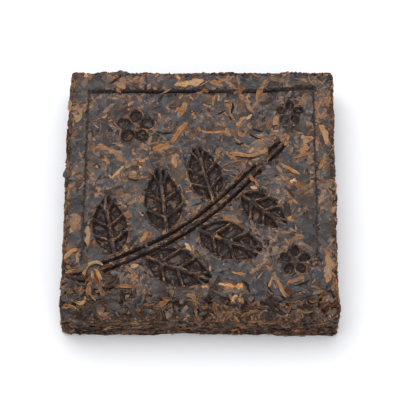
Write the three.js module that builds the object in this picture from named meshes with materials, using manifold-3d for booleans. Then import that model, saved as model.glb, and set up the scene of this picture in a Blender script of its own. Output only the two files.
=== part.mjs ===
// A square brick of ripe tea: dried leaves steamed and pressed in a mould into one hard slab.
// It lies on its flat back, pressed face up. The face has a plain raised border on three sides and a
// tea sprig with three blossoms sunk into its field. Along the front the leaves have worked loose.
// Millimetres, +Z up, origin in the middle of the underside, the loose front towards -Y.
import * as THREE from "three";
import { mergeVertices } from "three/addons/utils/BufferGeometryUtils.js";
import Module from "manifold-3d";

// The slab
const SIDE = 101;
const THICK = 16.5;
const HALF = SIDE / 2;
const CORNER_RADIUS = 1.6;
const BACK_EDGE_DROP = 0.45;
const FRONT_EDGE_DROP = 1.9;
const BACK_EDGE_WIDTH = 1.2;
const FRONT_EDGE_WIDTH = 5;
const FOOT_FLARE = 0.8;
const FOOT_RISE = 6;

// The pressed face
const BORDER = 7.2;
const BACK_BORDER = 8.3;
const BACK_BORDER_BEND = 22;
const BACK_BORDER_LESS = 1.8;
const BORDER_RISE = 0.4;
const GROOVE_WIDTH = 1.3;
const GROOVE_FLOOR = 0.5;
const GROOVE_DEPTH = 1.0;
const GROOVE_FRONT = -31;
const UNEVEN = 0.3;
const UNEVEN_SPAN = 24;

// The loose leaves
const LOOSE_DEPTH = 12;
const LOOSE_LEFT_FROM = 16;
const LOOSE_LEFT_EXTRA = 13;
const LOOSE_RIGHT_FROM = 26;
const LOOSE_RIGHT_EXTRA = 4;
const LOOSE_FADE = 7;
const LOOSE_DROP = 0.3;
const LOOSE_RELIEF = 0.7;
const LEAF_SPAN = 4.2;
const SIDE_RELIEF = 0.55;
const SIDE_SINK = 0.22;
const SIDE_SPAN = 6;
const LAYER_SPAN = 3.2;
const LOOSE_LEAVES = 26;
const FRONT_LEAVES = 14;
const OTHER_SIDE_LEAVES = 9;

// One dried leaf, a twisted strip: its least size and how much more it may have
const LEAF_LENGTH = [8, 7];
const LEAF_WIDTH = [2, 1.2];
const LEAF_THICK = [0.6, 0.3];
const LEAF_BOW = 0.3;
const LEAF_BEND = 0.8;
const LEAF_FOLD = [0.2, 0.3];
const LEAF_TIP = 0.3;
const LEAF_SINK = 0.15;
const LEAF_MARGIN = 2;
const SIDE_LEAF_TURN = 0.25;
const SIDE_LEAF_LOW = 3.25;

// The sunk sprig
const PRESS_DEPTH = 1.7;
const PRESS_DRAFT = 0.86;
const CUT_ABOVE = 2;
const STEM_START = [-36, -31];
const STEM_END = [22, 10];
const STEM_BOW = 5;
const STEM_RIDGE = 1.6;
const CHANNEL = 1.3;
const MIDRIB = 1.3;
const VEIN = 1.0;
const VEINS = 4;
const VEIN_SWEEP = 0.15;
// Each sprig leaf: its place along the stem, its direction in degrees and its length
const SPRIG_LEAVES = [
  { at: 0.08, heading: 101, length: 25 },
  { at: 0.37, heading: 97, length: 27 },
  { at: 0.68, heading: 107, length: 24 },
  { at: 0.2, heading: -21, length: 27 },
  { at: 0.51, heading: -23, length: 27 },
  { at: 0.82, heading: -38, length: 22 },
];
const LEAF_ASPECT = 0.26;
const LEAF_FOOT = 2.6;
const LEAF_HEEL = 0.03;
const LEAF_POINT = 0.95;
const LEAF_END = 0.985;
const BUD_LENGTH = 13;
const BUD_ASPECT = 0.2;
const BLOSSOMS = [
  { x: -25, y: 27, radius: 7.5 },
  { x: 35, y: -28, radius: 6 },
  { x: 34, y: 33, radius: 5.4 },
];
const PETALS = 5;
const PETAL_SIDES = 8;
const PETAL_CENTRE = 0.62;
const PETAL_REACH = 0.37;
const PETAL_WIDTH = 0.31;
const PETAL_DEPTH = 1.3;

// Mesh steps
const FACE_STEPS = 32;
const SIDE_STEPS = 4;
const STRIP_STEPS = 4;
const STEM_STEPS = 9;
const MESH_TOLERANCE = 0.06;
const SEED = 20260;

const wasm = await Module();
wasm.setup();

// A closed three.js geometry as a solid
function solid(geometry) {
  const bare = new THREE.BufferGeometry().setAttribute(
    "position",
    (geometry.index ? geometry.toNonIndexed() : geometry).getAttribute("position"),
  );
  const merged = mergeVertices(bare, 1e-4);
  return new wasm.Manifold(
    new wasm.Mesh({
      numProp: 3,
      vertProperties: new Float32Array(merged.attributes.position.array),
      triVerts: new Uint32Array(merged.index.array),
    }),
  );
}

// Repeatable random numbers from 0 to 1
function randomStream(seed) {
  let state = seed >>> 0;
  return () => {
    state = (Math.imul(state, 1664525) + 1013904223) >>> 0;
    return state / 4294967296;
  };
}

// Smooth noise from -1 to 1: a random height at each whole number, eased between them
function bumps(u, v) {
  const corner = (i, j) => {
    const h = Math.sin(i * 127.1 + j * 311.7) * 43758.5453;
    return h - Math.floor(h);
  };
  const [i, j] = [Math.floor(u), Math.floor(v)];
  const ease = (t) => t * t * (3 - 2 * t);
  const [s, t] = [ease(u - i), ease(v - j)];
  const near = corner(i, j) * (1 - s) + corner(i + 1, j) * s;
  const far = corner(i, j + 1) * (1 - s) + corner(i + 1, j + 1) * s;
  return 2 * (near * (1 - t) + far * t) - 1;
}

const smooth = THREE.MathUtils.smoothstep;

// How far the loose leaves reach back from the front at x: further at both ends
function looseReach(x) {
  const left = smooth(-x, LOOSE_LEFT_FROM, HALF) * LOOSE_LEFT_EXTRA;
  const right = smooth(x, LOOSE_RIGHT_FROM, HALF) * LOOSE_RIGHT_EXTRA;
  return LOOSE_DEPTH + left + right;
}

// 0 on the hard pressed face, 1 where the leaves are loose
function looseness(x, y) {
  const reach = looseReach(x);
  return 1 - smooth(y + HALF, reach - LOOSE_FADE, reach);
}

// Where the field ends at the back: a straight line that bends outwards near the right side
function backLine(x) {
  const bent = THREE.MathUtils.clamp((x - BACK_BORDER_BEND) / (HALF - BORDER - BACK_BORDER_BEND), 0, 1);
  return HALF - BACK_BORDER + BACK_BORDER_LESS * bent;
}

// 1 on the raised border, 0 on the field inside it, with no border across the front
function onBorder(x, y) {
  const out = Math.max(Math.abs(x) - (HALF - BORDER), y - backLine(x));
  return smooth(out, -GROOVE_WIDTH / 2, GROOVE_WIDTH / 2) * (1 - looseness(x, y));
}

// Height of the pressed face, without what is sunk into it
function faceHeight(x, y) {
  const loose = looseness(x, y);
  const fromEdge = Math.min(HALF - Math.abs(x), HALF - y);
  const fromFront = HALF + y;
  return (
    THICK +
    UNEVEN * bumps(x / UNEVEN_SPAN + 3.3, y / UNEVEN_SPAN + 7.1) +
    BORDER_RISE * onBorder(x, y) +
    loose * (LOOSE_RELIEF * bumps(x / LEAF_SPAN, y / LEAF_SPAN) - LOOSE_DROP) -
    BACK_EDGE_DROP * (1 - smooth(fromEdge, 0, BACK_EDGE_WIDTH)) -
    FRONT_EDGE_DROP * (1 - smooth(fromFront, 0, FRONT_EDGE_WIDTH))
  );
}

// How far a side stands proud at a distance along it and a height: thin layers of leaf lying flat
function sideRelief(side, along, z) {
  const layers = bumps(along / SIDE_SPAN + 11.7 * side, z / LAYER_SPAN + 5.3 * side);
  return SIDE_RELIEF * layers - SIDE_SINK;
}

// How far a side draws in near an upright corner, which is rounded
function cornerInset(along) {
  const short = Math.max(0, CORNER_RADIUS - (HALF - Math.abs(along)));
  return CORNER_RADIUS - Math.sqrt(CORNER_RADIUS ** 2 - short ** 2);
}

// Grid lines gather towards the edges, where the slab is roughest
function gather(s) {
  return Math.sign(s) * (1 - Math.pow(1 - Math.abs(s), 1.25));
}

// The bare slab: a fine box whose faces are moved to the pressed height and the layered sides
function slab() {
  const below = 1;
  const box = new THREE.BoxGeometry(2, 2, 1, FACE_STEPS, FACE_STEPS, SIDE_STEPS);
  const p = box.attributes.position;
  for (let k = 0; k < p.count; k++) {
    const [sx, sy] = [gather(p.getX(k)), gather(p.getY(k))];
    const level = p.getZ(k) + 0.5;
    const [x0, y0] = [sx * HALF, sy * HALF];
    const z = level * (faceHeight(x0, y0) + below) - below;
    let [x, y] = [x0, y0];
    // The front and the left side spread a little at their foot
    const foot = FOOT_FLARE * (1 - smooth(z, 0, FOOT_RISE));
    const atCorner = Math.abs(sx) === 1 && Math.abs(sy) === 1;
    const pull = (along) => (atCorner ? CORNER_RADIUS * (1 - Math.SQRT1_2) : cornerInset(along));
    if (Math.abs(sx) === 1) x += sx * (sideRelief(sx > 0 ? 1 : 2, y0, z) + (sx < 0 ? foot : 0) - pull(y0));
    if (Math.abs(sy) === 1) y += sy * (sideRelief(sy > 0 ? 3 : 4, x0, z) + (sy < 0 ? foot : 0) - pull(x0));
    p.setXYZ(k, x, y, z);
  }
  const cutter = new THREE.BoxGeometry(2 * SIDE, 2 * SIDE, 10).translate(0, 0, -5);
  return solid(box).subtract(solid(cutter));
}

// A prism that stands on z = 0
function upright(points, height) {
  const shape = new THREE.Shape(points.map(([x, y]) => new THREE.Vector2(x, y)));
  return new THREE.ExtrudeGeometry(shape, { depth: height, bevelEnabled: false });
}

// A sunk panel: an outline cut PRESS_DEPTH into the face, with sides that draw in towards its floor
function sunk(points, depth = PRESS_DEPTH) {
  const cut = upright(points, depth + CUT_ABOVE);
  const middle = points.reduce((sum, [x, y]) => [sum[0] + x, sum[1] + y], [0, 0]);
  const [cx, cy] = middle.map((v) => v / points.length);
  const p = cut.attributes.position;
  for (let k = 0; k < p.count; k++) {
    const draw = p.getZ(k) === 0 ? PRESS_DRAFT : 1;
    p.setX(k, cx + (p.getX(k) - cx) * draw);
    p.setY(k, cy + (p.getY(k) - cy) * draw);
  }
  return solid(cut.translate(0, 0, faceHeight(cx, cy) - depth));
}

// A point on the stem and the stem's heading there
function onStem(t) {
  const [dx, dy] = [STEM_END[0] - STEM_START[0], STEM_END[1] - STEM_START[1]];
  const run = Math.hypot(dx, dy);
  const bow = STEM_BOW * Math.sin(Math.PI * t);
  const x = STEM_START[0] + dx * t + (dy / run) * bow;
  const y = STEM_START[1] + dy * t - (dx / run) * bow;
  const turn = (STEM_BOW * Math.PI * Math.cos(Math.PI * t)) / run;
  return { x, y, heading: Math.atan2(dy, dx) - Math.atan(turn) };
}

// Half a leaf's width at u from its foot, 0, to its tip, 1
function leafHalfWidth(u, length, aspect) {
  return aspect * length * Math.pow(Math.sin(Math.PI * Math.pow(u, 0.85)), 0.8);
}

// One leaf of the sprig: panels on both sides of its midrib, parted by veins that sweep to the tip
function sprigLeaf(x, y, heading, length, aspect, veins) {
  const [c, s] = [Math.cos(heading), Math.sin(heading)];
  const place = (along, across) => [
    x + c * (LEAF_FOOT + along * length) - s * across,
    y + s * (LEAF_FOOT + along * length) + c * across,
  ];
  const panels = [];
  for (const hand of [1, -1]) {
    for (let n = 0; n < veins; n++) {
      const gap = VEIN / 2 / length;
      const from = n ? n / veins + gap : LEAF_HEEL;
      const to = n < veins - 1 ? (n + 1) / veins - gap : LEAF_POINT;
      const outer = [];
      const inner = [];
      for (let k = 0; k <= 2; k++) {
        const u = from + ((to - from) * k) / 2;
        const tip = Math.min(u + VEIN_SWEEP, LEAF_END);
        outer.push(place(tip, hand * Math.max(leafHalfWidth(tip, length, aspect), MIDRIB)));
        inner.push(place(u, (hand * MIDRIB) / 2));
      }
      const ring = [...inner, ...outer.reverse()];
      panels.push(sunk(hand > 0 ? ring : ring.reverse()));
    }
  }
  return panels;
}

// Two channels that leave the stem standing between them
function stemChannels() {
  return [1, -1].map((hand) => {
    const near = [];
    const far = [];
    for (let k = 0; k <= STEM_STEPS; k++) {
      const { x, y, heading } = onStem(k / STEM_STEPS);
      const [nx, ny] = [-Math.sin(heading) * hand, Math.cos(heading) * hand];
      near.push([x + (nx * STEM_RIDGE) / 2, y + (ny * STEM_RIDGE) / 2]);
      far.push([x + nx * (STEM_RIDGE / 2 + CHANNEL), y + ny * (STEM_RIDGE / 2 + CHANNEL)]);
    }
    const ring = [...near, ...far.reverse()];
    return solid(upright(ring, PRESS_DEPTH + CUT_ABOVE).translate(0, 0, THICK - PRESS_DEPTH));
  });
}

// A blossom: sunk petals round a raised middle
function blossom({ x, y, radius }) {
  const petals = [];
  for (let n = 0; n < PETALS; n++) {
    const aim = Math.PI / 2 + (2 * Math.PI * n) / PETALS;
    const points = [];
    for (let k = 0; k < PETAL_SIDES; k++) {
      const turn = (2 * Math.PI * k) / PETAL_SIDES;
      const out = radius * (PETAL_CENTRE + PETAL_REACH * Math.cos(turn));
      const across = radius * PETAL_WIDTH * Math.sin(turn);
      const [c, s] = [Math.cos(aim), Math.sin(aim)];
      points.push([x + c * out - s * across, y + s * out + c * across]);
    }
    petals.push(sunk(points, PETAL_DEPTH));
  }
  return petals;
}

// The groove that runs inside the border, along the left side, the back and the right side
function grooves() {
  const edge = HALF - BORDER;
  const top = GROOVE_DEPTH + CUT_ABOVE;
  const atTop = GROOVE_FLOOR / 2 + ((GROOVE_WIDTH - GROOVE_FLOOR) / 2 / GROOVE_DEPTH) * top;
  const section = new THREE.Shape([
    new THREE.Vector2(-GROOVE_FLOOR / 2, 0),
    new THREE.Vector2(GROOVE_FLOOR / 2, 0),
    new THREE.Vector2(atTop, top),
    new THREE.Vector2(-atTop, top),
  ]);
  const bar = ([x0, y0], [x1, y1]) =>
    new THREE.ExtrudeGeometry(section, { depth: Math.hypot(x1 - x0, y1 - y0), bevelEnabled: false })
      .rotateX(Math.PI / 2)
      .rotateZ(Math.PI / 2 + Math.atan2(y1 - y0, x1 - x0))
      .translate(x0, y0, THICK - GROOVE_DEPTH);
  const path = [
    [-edge, GROOVE_FRONT],
    [-edge, backLine(-edge)],
    [BACK_BORDER_BEND, backLine(BACK_BORDER_BEND)],
    [edge, backLine(edge)],
    [edge, GROOVE_FRONT],
  ];
  return path.slice(1).map((end, k) => solid(bar(path[k], end)));
}

// A loose leaf: a thin strip, pointed at both ends, bowed along its length and folded across it
function leafStrip({ length, width, thick, bow, bend, fold }) {
  const strip = new THREE.BoxGeometry(1, 1, 1, STRIP_STEPS, fold ? 2 : 1, 1);
  const p = strip.attributes.position;
  for (let k = 0; k < p.count; k++) {
    const [u, v, w] = [p.getX(k), p.getY(k), p.getZ(k)];
    const arch = Math.max(0, Math.cos(Math.PI * u));
    const across = v * width * (LEAF_TIP + (1 - LEAF_TIP) * Math.pow(arch, 0.7)) + bend * arch;
    const lift = bow * arch + fold * (1 - 2 * Math.abs(v)) + w * thick;
    p.setXYZ(k, u * length, across, lift);
  }
  return strip;
}

// A strip draped over a surface: each of its points goes along, across and above its place there
function drape(strip, turn, surface) {
  const p = strip.attributes.position;
  const [c, s] = [Math.cos(turn), Math.sin(turn)];
  for (let k = 0; k < p.count; k++) {
    const [a, b, lift] = [p.getX(k), p.getY(k), p.getZ(k)];
    p.setXYZ(k, ...surface(a * c - b * s, a * s + b * c, lift));
  }
  return solid(strip);
}

// A dried leaf of random size, folded only where it lies loose
function randomLeaf(random, folded) {
  const between = ([least, more]) => least + more * random();
  return {
    length: between(LEAF_LENGTH),
    width: between(LEAF_WIDTH),
    thick: between(LEAF_THICK),
    bow: LEAF_BOW * random(),
    bend: LEAF_BEND * (2 * random() - 1),
    fold: folded ? between(LEAF_FOLD) : 0,
  };
}

// Leaves that stand out of the loose band on the face, none of them reaching over its edges
function looseLeaves(random, count) {
  const leaves = [];
  for (let k = 0; k < count; k++) {
    const leaf = randomLeaf(random, true);
    const inset = LEAF_MARGIN + leaf.length / 2;
    const x = (((k + random()) / count) * 2 - 1) * (HALF - inset);
    const y = LEAF_MARGIN - HALF + looseReach(x) * random();
    const steepest = Math.asin(Math.min(1, (y + HALF - LEAF_MARGIN / 2) / (leaf.length / 2)));
    const turn = (2 * random() - 1) * steepest;
    const onFace = (a, b, lift) => [x + a, y + b, faceHeight(x + a, y + b) + lift - LEAF_SINK];
    leaves.push(drape(leafStrip(leaf), turn, onFace));
  }
  return leaves;
}

// Leaves that lie flat in the layers of one side and stand a little proud of it
function sideLeaves(random, side, count) {
  const leaves = [];
  const [nx, ny] = [[1, 0], [-1, 0], [0, 1], [0, -1]][side - 1];
  const mirrored = nx > 0 || ny < 0 ? 1 : -1;
  for (let k = 0; k < count; k++) {
    const leaf = randomLeaf(random, false);
    const span = SIDE - 2 * LEAF_MARGIN - leaf.length;
    const along = ((k + random()) / count - 0.5) * span;
    const high = THICK - FRONT_EDGE_DROP - LEAF_MARGIN;
    const z = SIDE_LEAF_LOW + (high - SIDE_LEAF_LOW) * random();
    const onSide = (a, b, lift) => {
      const out = HALF + sideRelief(side, along + a, z + b) + lift - LEAF_SINK;
      return [nx ? nx * out : along + a, ny ? ny * out : along + a, z + b];
    };
    const strip = leafStrip(leaf).scale(mirrored, 1, 1);
    leaves.push(drape(strip, SIDE_LEAF_TURN * (2 * random() - 1), onSide));
  }
  return leaves;
}

// The biggest body of a solid, which drops loose scraps and fills hollows that joining has sealed
function biggest(whole) {
  return whole.decompose().reduce((a, b) => (b.volume() > a.volume() ? b : a));
}

function teaBrick() {
  const random = randomStream(SEED);
  const end = onStem(1);
  const cuts = [
    ...grooves(),
    ...stemChannels(),
    ...SPRIG_LEAVES.flatMap(({ at, heading, length }) => {
      const { x, y } = onStem(at);
      return sprigLeaf(x, y, THREE.MathUtils.degToRad(heading), length, LEAF_ASPECT, VEINS);
    }),
    ...sprigLeaf(end.x, end.y, end.heading, BUD_LENGTH, BUD_ASPECT, 1),
    ...BLOSSOMS.flatMap(blossom),
  ];
  const leaves = [
    ...looseLeaves(random, LOOSE_LEAVES),
    ...sideLeaves(random, 4, FRONT_LEAVES),
    ...[1, 2, 3].flatMap((side) => sideLeaves(random, side, OTHER_SIDE_LEAVES)),
  ];
  const pressed = slab().subtract(wasm.Manifold.union(cuts));
  return biggest(wasm.Manifold.union([pressed, ...leaves]).simplify(MESH_TOLERANCE));
}

// A solid as a three.js geometry
function geometryOf(body) {
  const { numProp, vertProperties, triVerts } = body.getMesh();
  const points = new Float32Array((vertProperties.length / numProp) * 3);
  for (let k = 0; k < points.length / 3; k++)
    points.set(vertProperties.subarray(k * numProp, k * numProp + 3), 3 * k);
  return new THREE.BufferGeometry()
    .setAttribute("position", new THREE.BufferAttribute(points, 3))
    .setIndex(new THREE.BufferAttribute(triVerts, 1));
}

const pressedTea = new THREE.MeshStandardMaterial({ color: 0x3a322d, roughness: 0.8, metalness: 0 });

const brick = new THREE.Mesh(geometryOf(biggest(solid(geometryOf(teaBrick())))), pressedTea);
brick.name = "tea_brick";

const group = new THREE.Group();
group.add(brick);
export default group;
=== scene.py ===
"""A square brick of pressed ripe tea, face up on a pale floor.

The brick is a dense core with the pressed relief, covered on every side with thin leaves that follow
it. Sizes are in millimetres until a mesh is made, and colours are as seen, from 0 to 255.
"""

from math import atan, atan2, cos, hypot, pi, radians, sin

import bpy
import numpy as np
from mathutils import Matrix, Vector


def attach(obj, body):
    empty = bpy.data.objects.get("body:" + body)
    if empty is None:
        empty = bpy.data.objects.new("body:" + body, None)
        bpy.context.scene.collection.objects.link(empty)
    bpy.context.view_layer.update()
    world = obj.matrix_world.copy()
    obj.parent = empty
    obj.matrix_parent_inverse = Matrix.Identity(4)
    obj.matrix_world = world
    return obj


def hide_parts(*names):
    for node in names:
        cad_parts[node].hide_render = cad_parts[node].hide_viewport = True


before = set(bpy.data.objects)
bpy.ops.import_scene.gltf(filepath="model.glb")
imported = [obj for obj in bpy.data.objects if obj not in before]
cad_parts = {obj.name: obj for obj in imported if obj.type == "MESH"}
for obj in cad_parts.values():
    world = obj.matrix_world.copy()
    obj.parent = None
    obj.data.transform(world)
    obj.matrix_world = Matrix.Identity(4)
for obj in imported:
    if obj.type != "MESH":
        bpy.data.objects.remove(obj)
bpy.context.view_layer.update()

MM = 0.001

# What keeps a division from 0, and what makes the noise's heights look random
TINY = 1e-12
HASH_STEPS = (127.1, 311.7)
HASH_SCALE = 43758.5453

# The slab
SIDE = 101
THICK = 16.5
TOP_LIMIT = 17.9
HALF = SIDE / 2
CORNER_RADIUS = 1.6
STRAIGHT = 2 * (HALF - CORNER_RADIUS)
ARC = pi * CORNER_RADIUS / 2
ROUND = 4 * (STRAIGHT + ARC)
BACK_EDGE_DROP = 0.45
FRONT_EDGE_DROP = 1.9
BACK_EDGE_WIDTH = 1.2
FRONT_EDGE_WIDTH = 5
FOOT_FLARE = 0.8
FOOT_RISE = 6

# The pressed face
BORDER = 7.2
BACK_BORDER = 8.3
BACK_BORDER_BEND = 22
BACK_BORDER_LESS = 1.8
BORDER_RISE = 0.4
UNEVEN = 0.3
UNEVEN_SPAN = 24

# The groove between the border and the field
GROOVE_WIDTH = 1.3
GROOVE_FLOOR = 0.5
GROOVE_DEPTH = 1.0
GROOVE_FRONT = -31
GROOVE_FADE = (-33, -25)
GROOVE_CORNER = 3
GROOVE_SWAY = 0.2
GROOVE_SWAY_SPAN = 5
GROOVE_WORN = 0.35
GROOVE_WORN_SPAN = 7
SIDE_GROOVE_LESS = 0.6

# The band of loose leaves along the front
LOOSE_DEPTH = 12
LOOSE_LEFT_FROM = 16
LOOSE_LEFT_EXTRA = 13
LOOSE_RIGHT_FROM = 26
LOOSE_RIGHT_EXTRA = 4
LOOSE_FADE = 7
LOOSE_DROP = 0.3
LOOSE_RELIEF = 0.7
LOOSE_FILL = 0.6
LEAF_SPAN = 4.2

# The layered sides and the turn from them to the face
SIDE_RELIEF = 0.55
SIDE_SINK = 0.22
SIDE_SPAN = 6
LAYER_SPAN = 3.2
SIDE_SHIFT = (11.7, 5.3)
EDGE_FADE = 3
EDGE_TURN = (-0.5, 0.9)

# The sunk sprig
PRESS_DEPTH = 1.7
STEM_START = (-36, -31)
STEM_END = (22, 10)
STEM_BOW = 5
STEM_RIDGE = 1.6
STEM_STEPS = 24
CHANNEL = 1.3
MIDRIB = 1.3
VEIN = 1.0
VEINS = 4
VEIN_SWEEP = 0.15
# Each sprig leaf: its place along the stem, its direction in degrees and its length
SPRIG_LEAVES = (
    (0.08, 101, 25),
    (0.37, 97, 27),
    (0.68, 107, 24),
    (0.2, -21, 27),
    (0.51, -23, 27),
    (0.82, -38, 22),
)
LEAF_ASPECT = 0.26
LEAF_FOOT = 2.6
LEAF_HEEL = 0.03
LEAF_POINT = 0.95
LEAF_END = 0.985
LEAF_SKEW = 0.85
LEAF_FULLNESS = 0.8
PANEL_STEPS = 5
BUD_LENGTH = 13
BUD_ASPECT = 0.2
# Each blossom: its middle and its radius
BLOSSOMS = ((-25, 27, 7.5), (35, -28, 6), (34, 33, 5.4))
PETALS = 5
PETAL_CENTRE = 0.62
PETAL_REACH = 0.37
PETAL_WIDTH = 0.31
PETAL_DEPTH = 1.3
PETAL_STEPS = 16
# Where a wall starts and ends, inwards from its outline
WALL = (-0.1, 0.5)
WALL_SWAY = 0.16
WALL_SWAY_SPANS = (0.7, 2.3)
WORN = 0.15
WORN_SPAN = 3.1

# The map of the relief
MAP_STEP = 0.125
MAP_HALF = 46
MAP_LINE = np.arange(-MAP_HALF, MAP_HALF + MAP_STEP / 2, MAP_STEP)
MAP_MARGIN = 1
AVERAGE_REACH = 0.8
SLOPE_STEP = 0.6

# The core under the leaves, and the folds that roughen it
CORE_SINK = 0.12
CORE_FINE_HALF = 43
CORE_FINE_STEP = 0.35
CORE_COARSE_STEP = 0.75
CORE_ROWS = 16
FOLD = 0.1
FOLD_SPAN = 0.8
FOLD_FADE = (0.1, 0.4)
SIDE_FOLD = 0.2
SIDE_FOLD_SPANS = (1.7, 0.6)

# The thin leaves. A section goes from the left foot over the top to the right foot. Each point has
# its side, how much of the bevel it is drawn in by, its height and its painted shade, most at the feet.
FLAT = ((-1, 0, 0, 1), (-1, 1, 1, 0), (1, 1, 1, 0), (1, 0, 0, 1))
DOMED = ((-1, 0, 0, 1), (-1, 1, 0.75, 0.2), (0, 0, 1, 0), (1, 1, 0.75, 0.2), (1, 0, 0, 1))
ROLLED = ((-1, 0, 0, 1), (-1, 0.6, 1, 0.1), (0, 0, 0.35, 0.6), (1, 0.6, 0.9, 0.1), (1, 0, 0, 1))
BEVEL = 0.2
TOP_SHARE = 0.55
TIP_WIDTH = 0.08
TIP_THICK = 0.35
FULLNESS = 0.6
LOBE_WAVES = 4
LOBE_PACE = 1.9
LOBE_LIMITS = (0.3, 1.9)
BEND_BACK = 0.5
GRAIN_APART = 60
FLAT_THICK = 0.1
FLAKE_ROWS = 14

# Painted shade: how dark leaves are painted at their rims, on sunk floors, by walls, where buried and
# underneath, and how dark the core is painted where it shows between them
RIM_PAINTED_SHADE = 0.6
NARROW_RIM = 0.45
BROAD = 1.8
SUNK_PAINTED_SHADE = 0.95
SUNK_PAINTED_SHADE_LEAST = 0.6
SUNK_SHARES = (0.12, 0.75)
FLOOR_PAINTED_SHADE = 0.5
BELOW_AVERAGE = (0.05, 0.6)
BURIED_PAINTED_SHADE = 0.7
UNDER_PAINTED_SHADE = 0.8
CORE_FACE_PAINTED_SHADE = 0.3
CORE_LOOSE_PAINTED_SHADE = 0.9
CORE_SIDE_PAINTED_SHADE = 0.85

# How leaves are scattered: the share of the way from each to the next, where each kind starts for a
# seed of 1, how far it stays from the slab's edge, and the random limits that pick its places
ACROSS_STEP = 0.7548777
ALONG_STEP = 0.5698403
ROUND_STEP = 0.6180340
FACE_START = 13
LOOSE_START = 29
SIDE_START = 31
UNDER_START = 77
FACE_MARGIN = 0.6
LOOSE_MARGIN = 0.75
UNDER_MARGIN = 1.2
FACE_JITTER = 0.6
FACE_PICK = (0.1, 0.95)
CLUSTER_PICK = (0.1, 0.9)
LOOSE_PICK = (0.1, 0.9)
LOOSE_CLUSTER_PICK = (-0.3, 1.0)
LOOSE_TRIES = 6
# Each noise that gathers brown leaves in clusters: its strength, its span and its shift
CLUSTER_NOISES = ((0.45, 8, (21, 0)), (0.4, 3.4, (0, 37)))

# How leaves are laid on the face: how deep they root, how far they reach, and how they are turned
# and shrunk to fit the relief
LEAF_ROOT = 0.08
FACE_REACH = HALF - 0.3
GROOVE_GAP = 0.45
GROOVE_GAP_SPREAD = 0.12
SIDE_GAP_LESS = 0.1
BRIDGE = 0.5
FIT_TRIES = 5
FIT_SHRINK = 0.62
FIT_TURN = 0.12
FIT_SLOPE = 0.15
SAG = 0.4

# How leaves lie along the relief, in the loose band, round the sides and underneath
RIM_OFF = (0.1, 0.45)
RIM_PROBE = 0.5
RIM_TURN = 0.16
RIM_LIFT = 0.08
LOOSE_TURN = 0.8
LOOSE_LOW = -0.7
LOOSE_SINK = 0.15
LOOSE_ROUGH = 0.5
SIDE_FOOT = 0.7
SIDE_MARGINS = 1.0
SIDE_LOWEST = 0.15
SIDE_BELOW_FACE = 0.1
SIDE_INSIDE = 0.6
SIDE_TURN = 0.6
SIDE_STEADY = 2.5
EDGE_ROOT = 0.15
UNDER_REACH = HALF - 0.5
UNDER_RAGGED = 0.2
UNDER_SINK = 0.06

# The camera, from the brick's corners in the photograph, its distance in metres
ELEVATION = 65.84
AZIMUTH = 2.70
ROLL = -2.44
DISTANCE = 0.567
LENS = 132.75
SENSOR = 36
SHIFT = (-1 / 400, 9 / 400)


# The shape of the slab

def smooth(x, low, high):
    """Eases from 0 at low to 1 at high, flat at both ends."""
    t = np.clip((x - low) / (high - low), 0, 1)
    return t * t * (3 - 2 * t)


def bumps(u, v):
    """Smooth noise from -1 to 1: a random height at each whole number, eased between them."""
    i, j = np.floor(u), np.floor(v)

    def corner(a, b):
        """What is left of a large multiple of a sine after its whole part."""
        h = np.sin(a * HASH_STEPS[0] + b * HASH_STEPS[1]) * HASH_SCALE
        return h - np.floor(h)

    s, t = smooth(u - i, 0, 1), smooth(v - j, 0, 1)
    near = corner(i, j) * (1 - s) + corner(i + 1, j) * s
    far = corner(i, j + 1) * (1 - s) + corner(i + 1, j + 1) * s
    return 2 * (near * (1 - t) + far * t) - 1


def noise(x, y, span, shift=(0, 0)):
    """The smooth noise with a span in mm. The shift makes it another pattern."""
    return bumps(x / span + shift[0], y / span + shift[1])


def looseness(x, y):
    """0 on the hard pressed face, 1 in the band along the front, which is wider at its ends."""
    left = smooth(-x, LOOSE_LEFT_FROM, HALF) * LOOSE_LEFT_EXTRA
    right = smooth(x, LOOSE_RIGHT_FROM, HALF) * LOOSE_RIGHT_EXTRA
    reach = LOOSE_DEPTH + left + right
    return 1 - smooth(y + HALF, reach - LOOSE_FADE, reach)


def back_line(x):
    """Where the field ends at the back: a straight line that bends outwards near the right side."""
    bent = np.clip((x - BACK_BORDER_BEND) / (HALF - BORDER - BACK_BORDER_BEND), 0, 1)
    return HALF - BACK_BORDER + BACK_BORDER_LESS * bent


def off_field(x, y):
    """How far a point is outside the field, sideways and to the back."""
    return np.abs(x) - (HALF - BORDER), y - back_line(x)


def on_border(x, y):
    """1 on the raised border, 0 on the field inside it, with no border across the front."""
    out = np.maximum(*off_field(x, y))
    return smooth(out, -GROOVE_WIDTH / 2, GROOVE_WIDTH / 2) * (1 - looseness(x, y))


def bare_height(x, y):
    """Height of the pressed face without what is sunk into it: thick, uneven, lower at its edges."""
    loose = looseness(x, y)
    from_edge = np.minimum(HALF - np.abs(x), HALF - y)
    return (
        THICK
        + UNEVEN * noise(x, y, UNEVEN_SPAN, (3.3, 7.1))
        + BORDER_RISE * on_border(x, y)
        + loose * (LOOSE_RELIEF * noise(x, y, LEAF_SPAN) - LOOSE_DROP)
        - BACK_EDGE_DROP * (1 - smooth(from_edge, 0, BACK_EDGE_WIDTH))
        - FRONT_EDGE_DROP * (1 - smooth(HALF + y, 0, FRONT_EDGE_WIDTH))
    )


def on_stem(t):
    """A point on the bowed stem and the stem's heading there: a straight run plus half a sine."""
    dx, dy = STEM_END[0] - STEM_START[0], STEM_END[1] - STEM_START[1]
    run = hypot(dx, dy)
    bow = STEM_BOW * sin(pi * t)
    x = STEM_START[0] + dx * t + dy / run * bow
    y = STEM_START[1] + dy * t - dx / run * bow
    return x, y, atan2(dy, dx) - atan(STEM_BOW * pi * cos(pi * t) / run)


def leaf_half_width(u, length, aspect):
    """Half a sprig leaf's width: the power of a sine, widest before its middle."""
    return aspect * length * sin(pi * u**LEAF_SKEW) ** LEAF_FULLNESS


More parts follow.
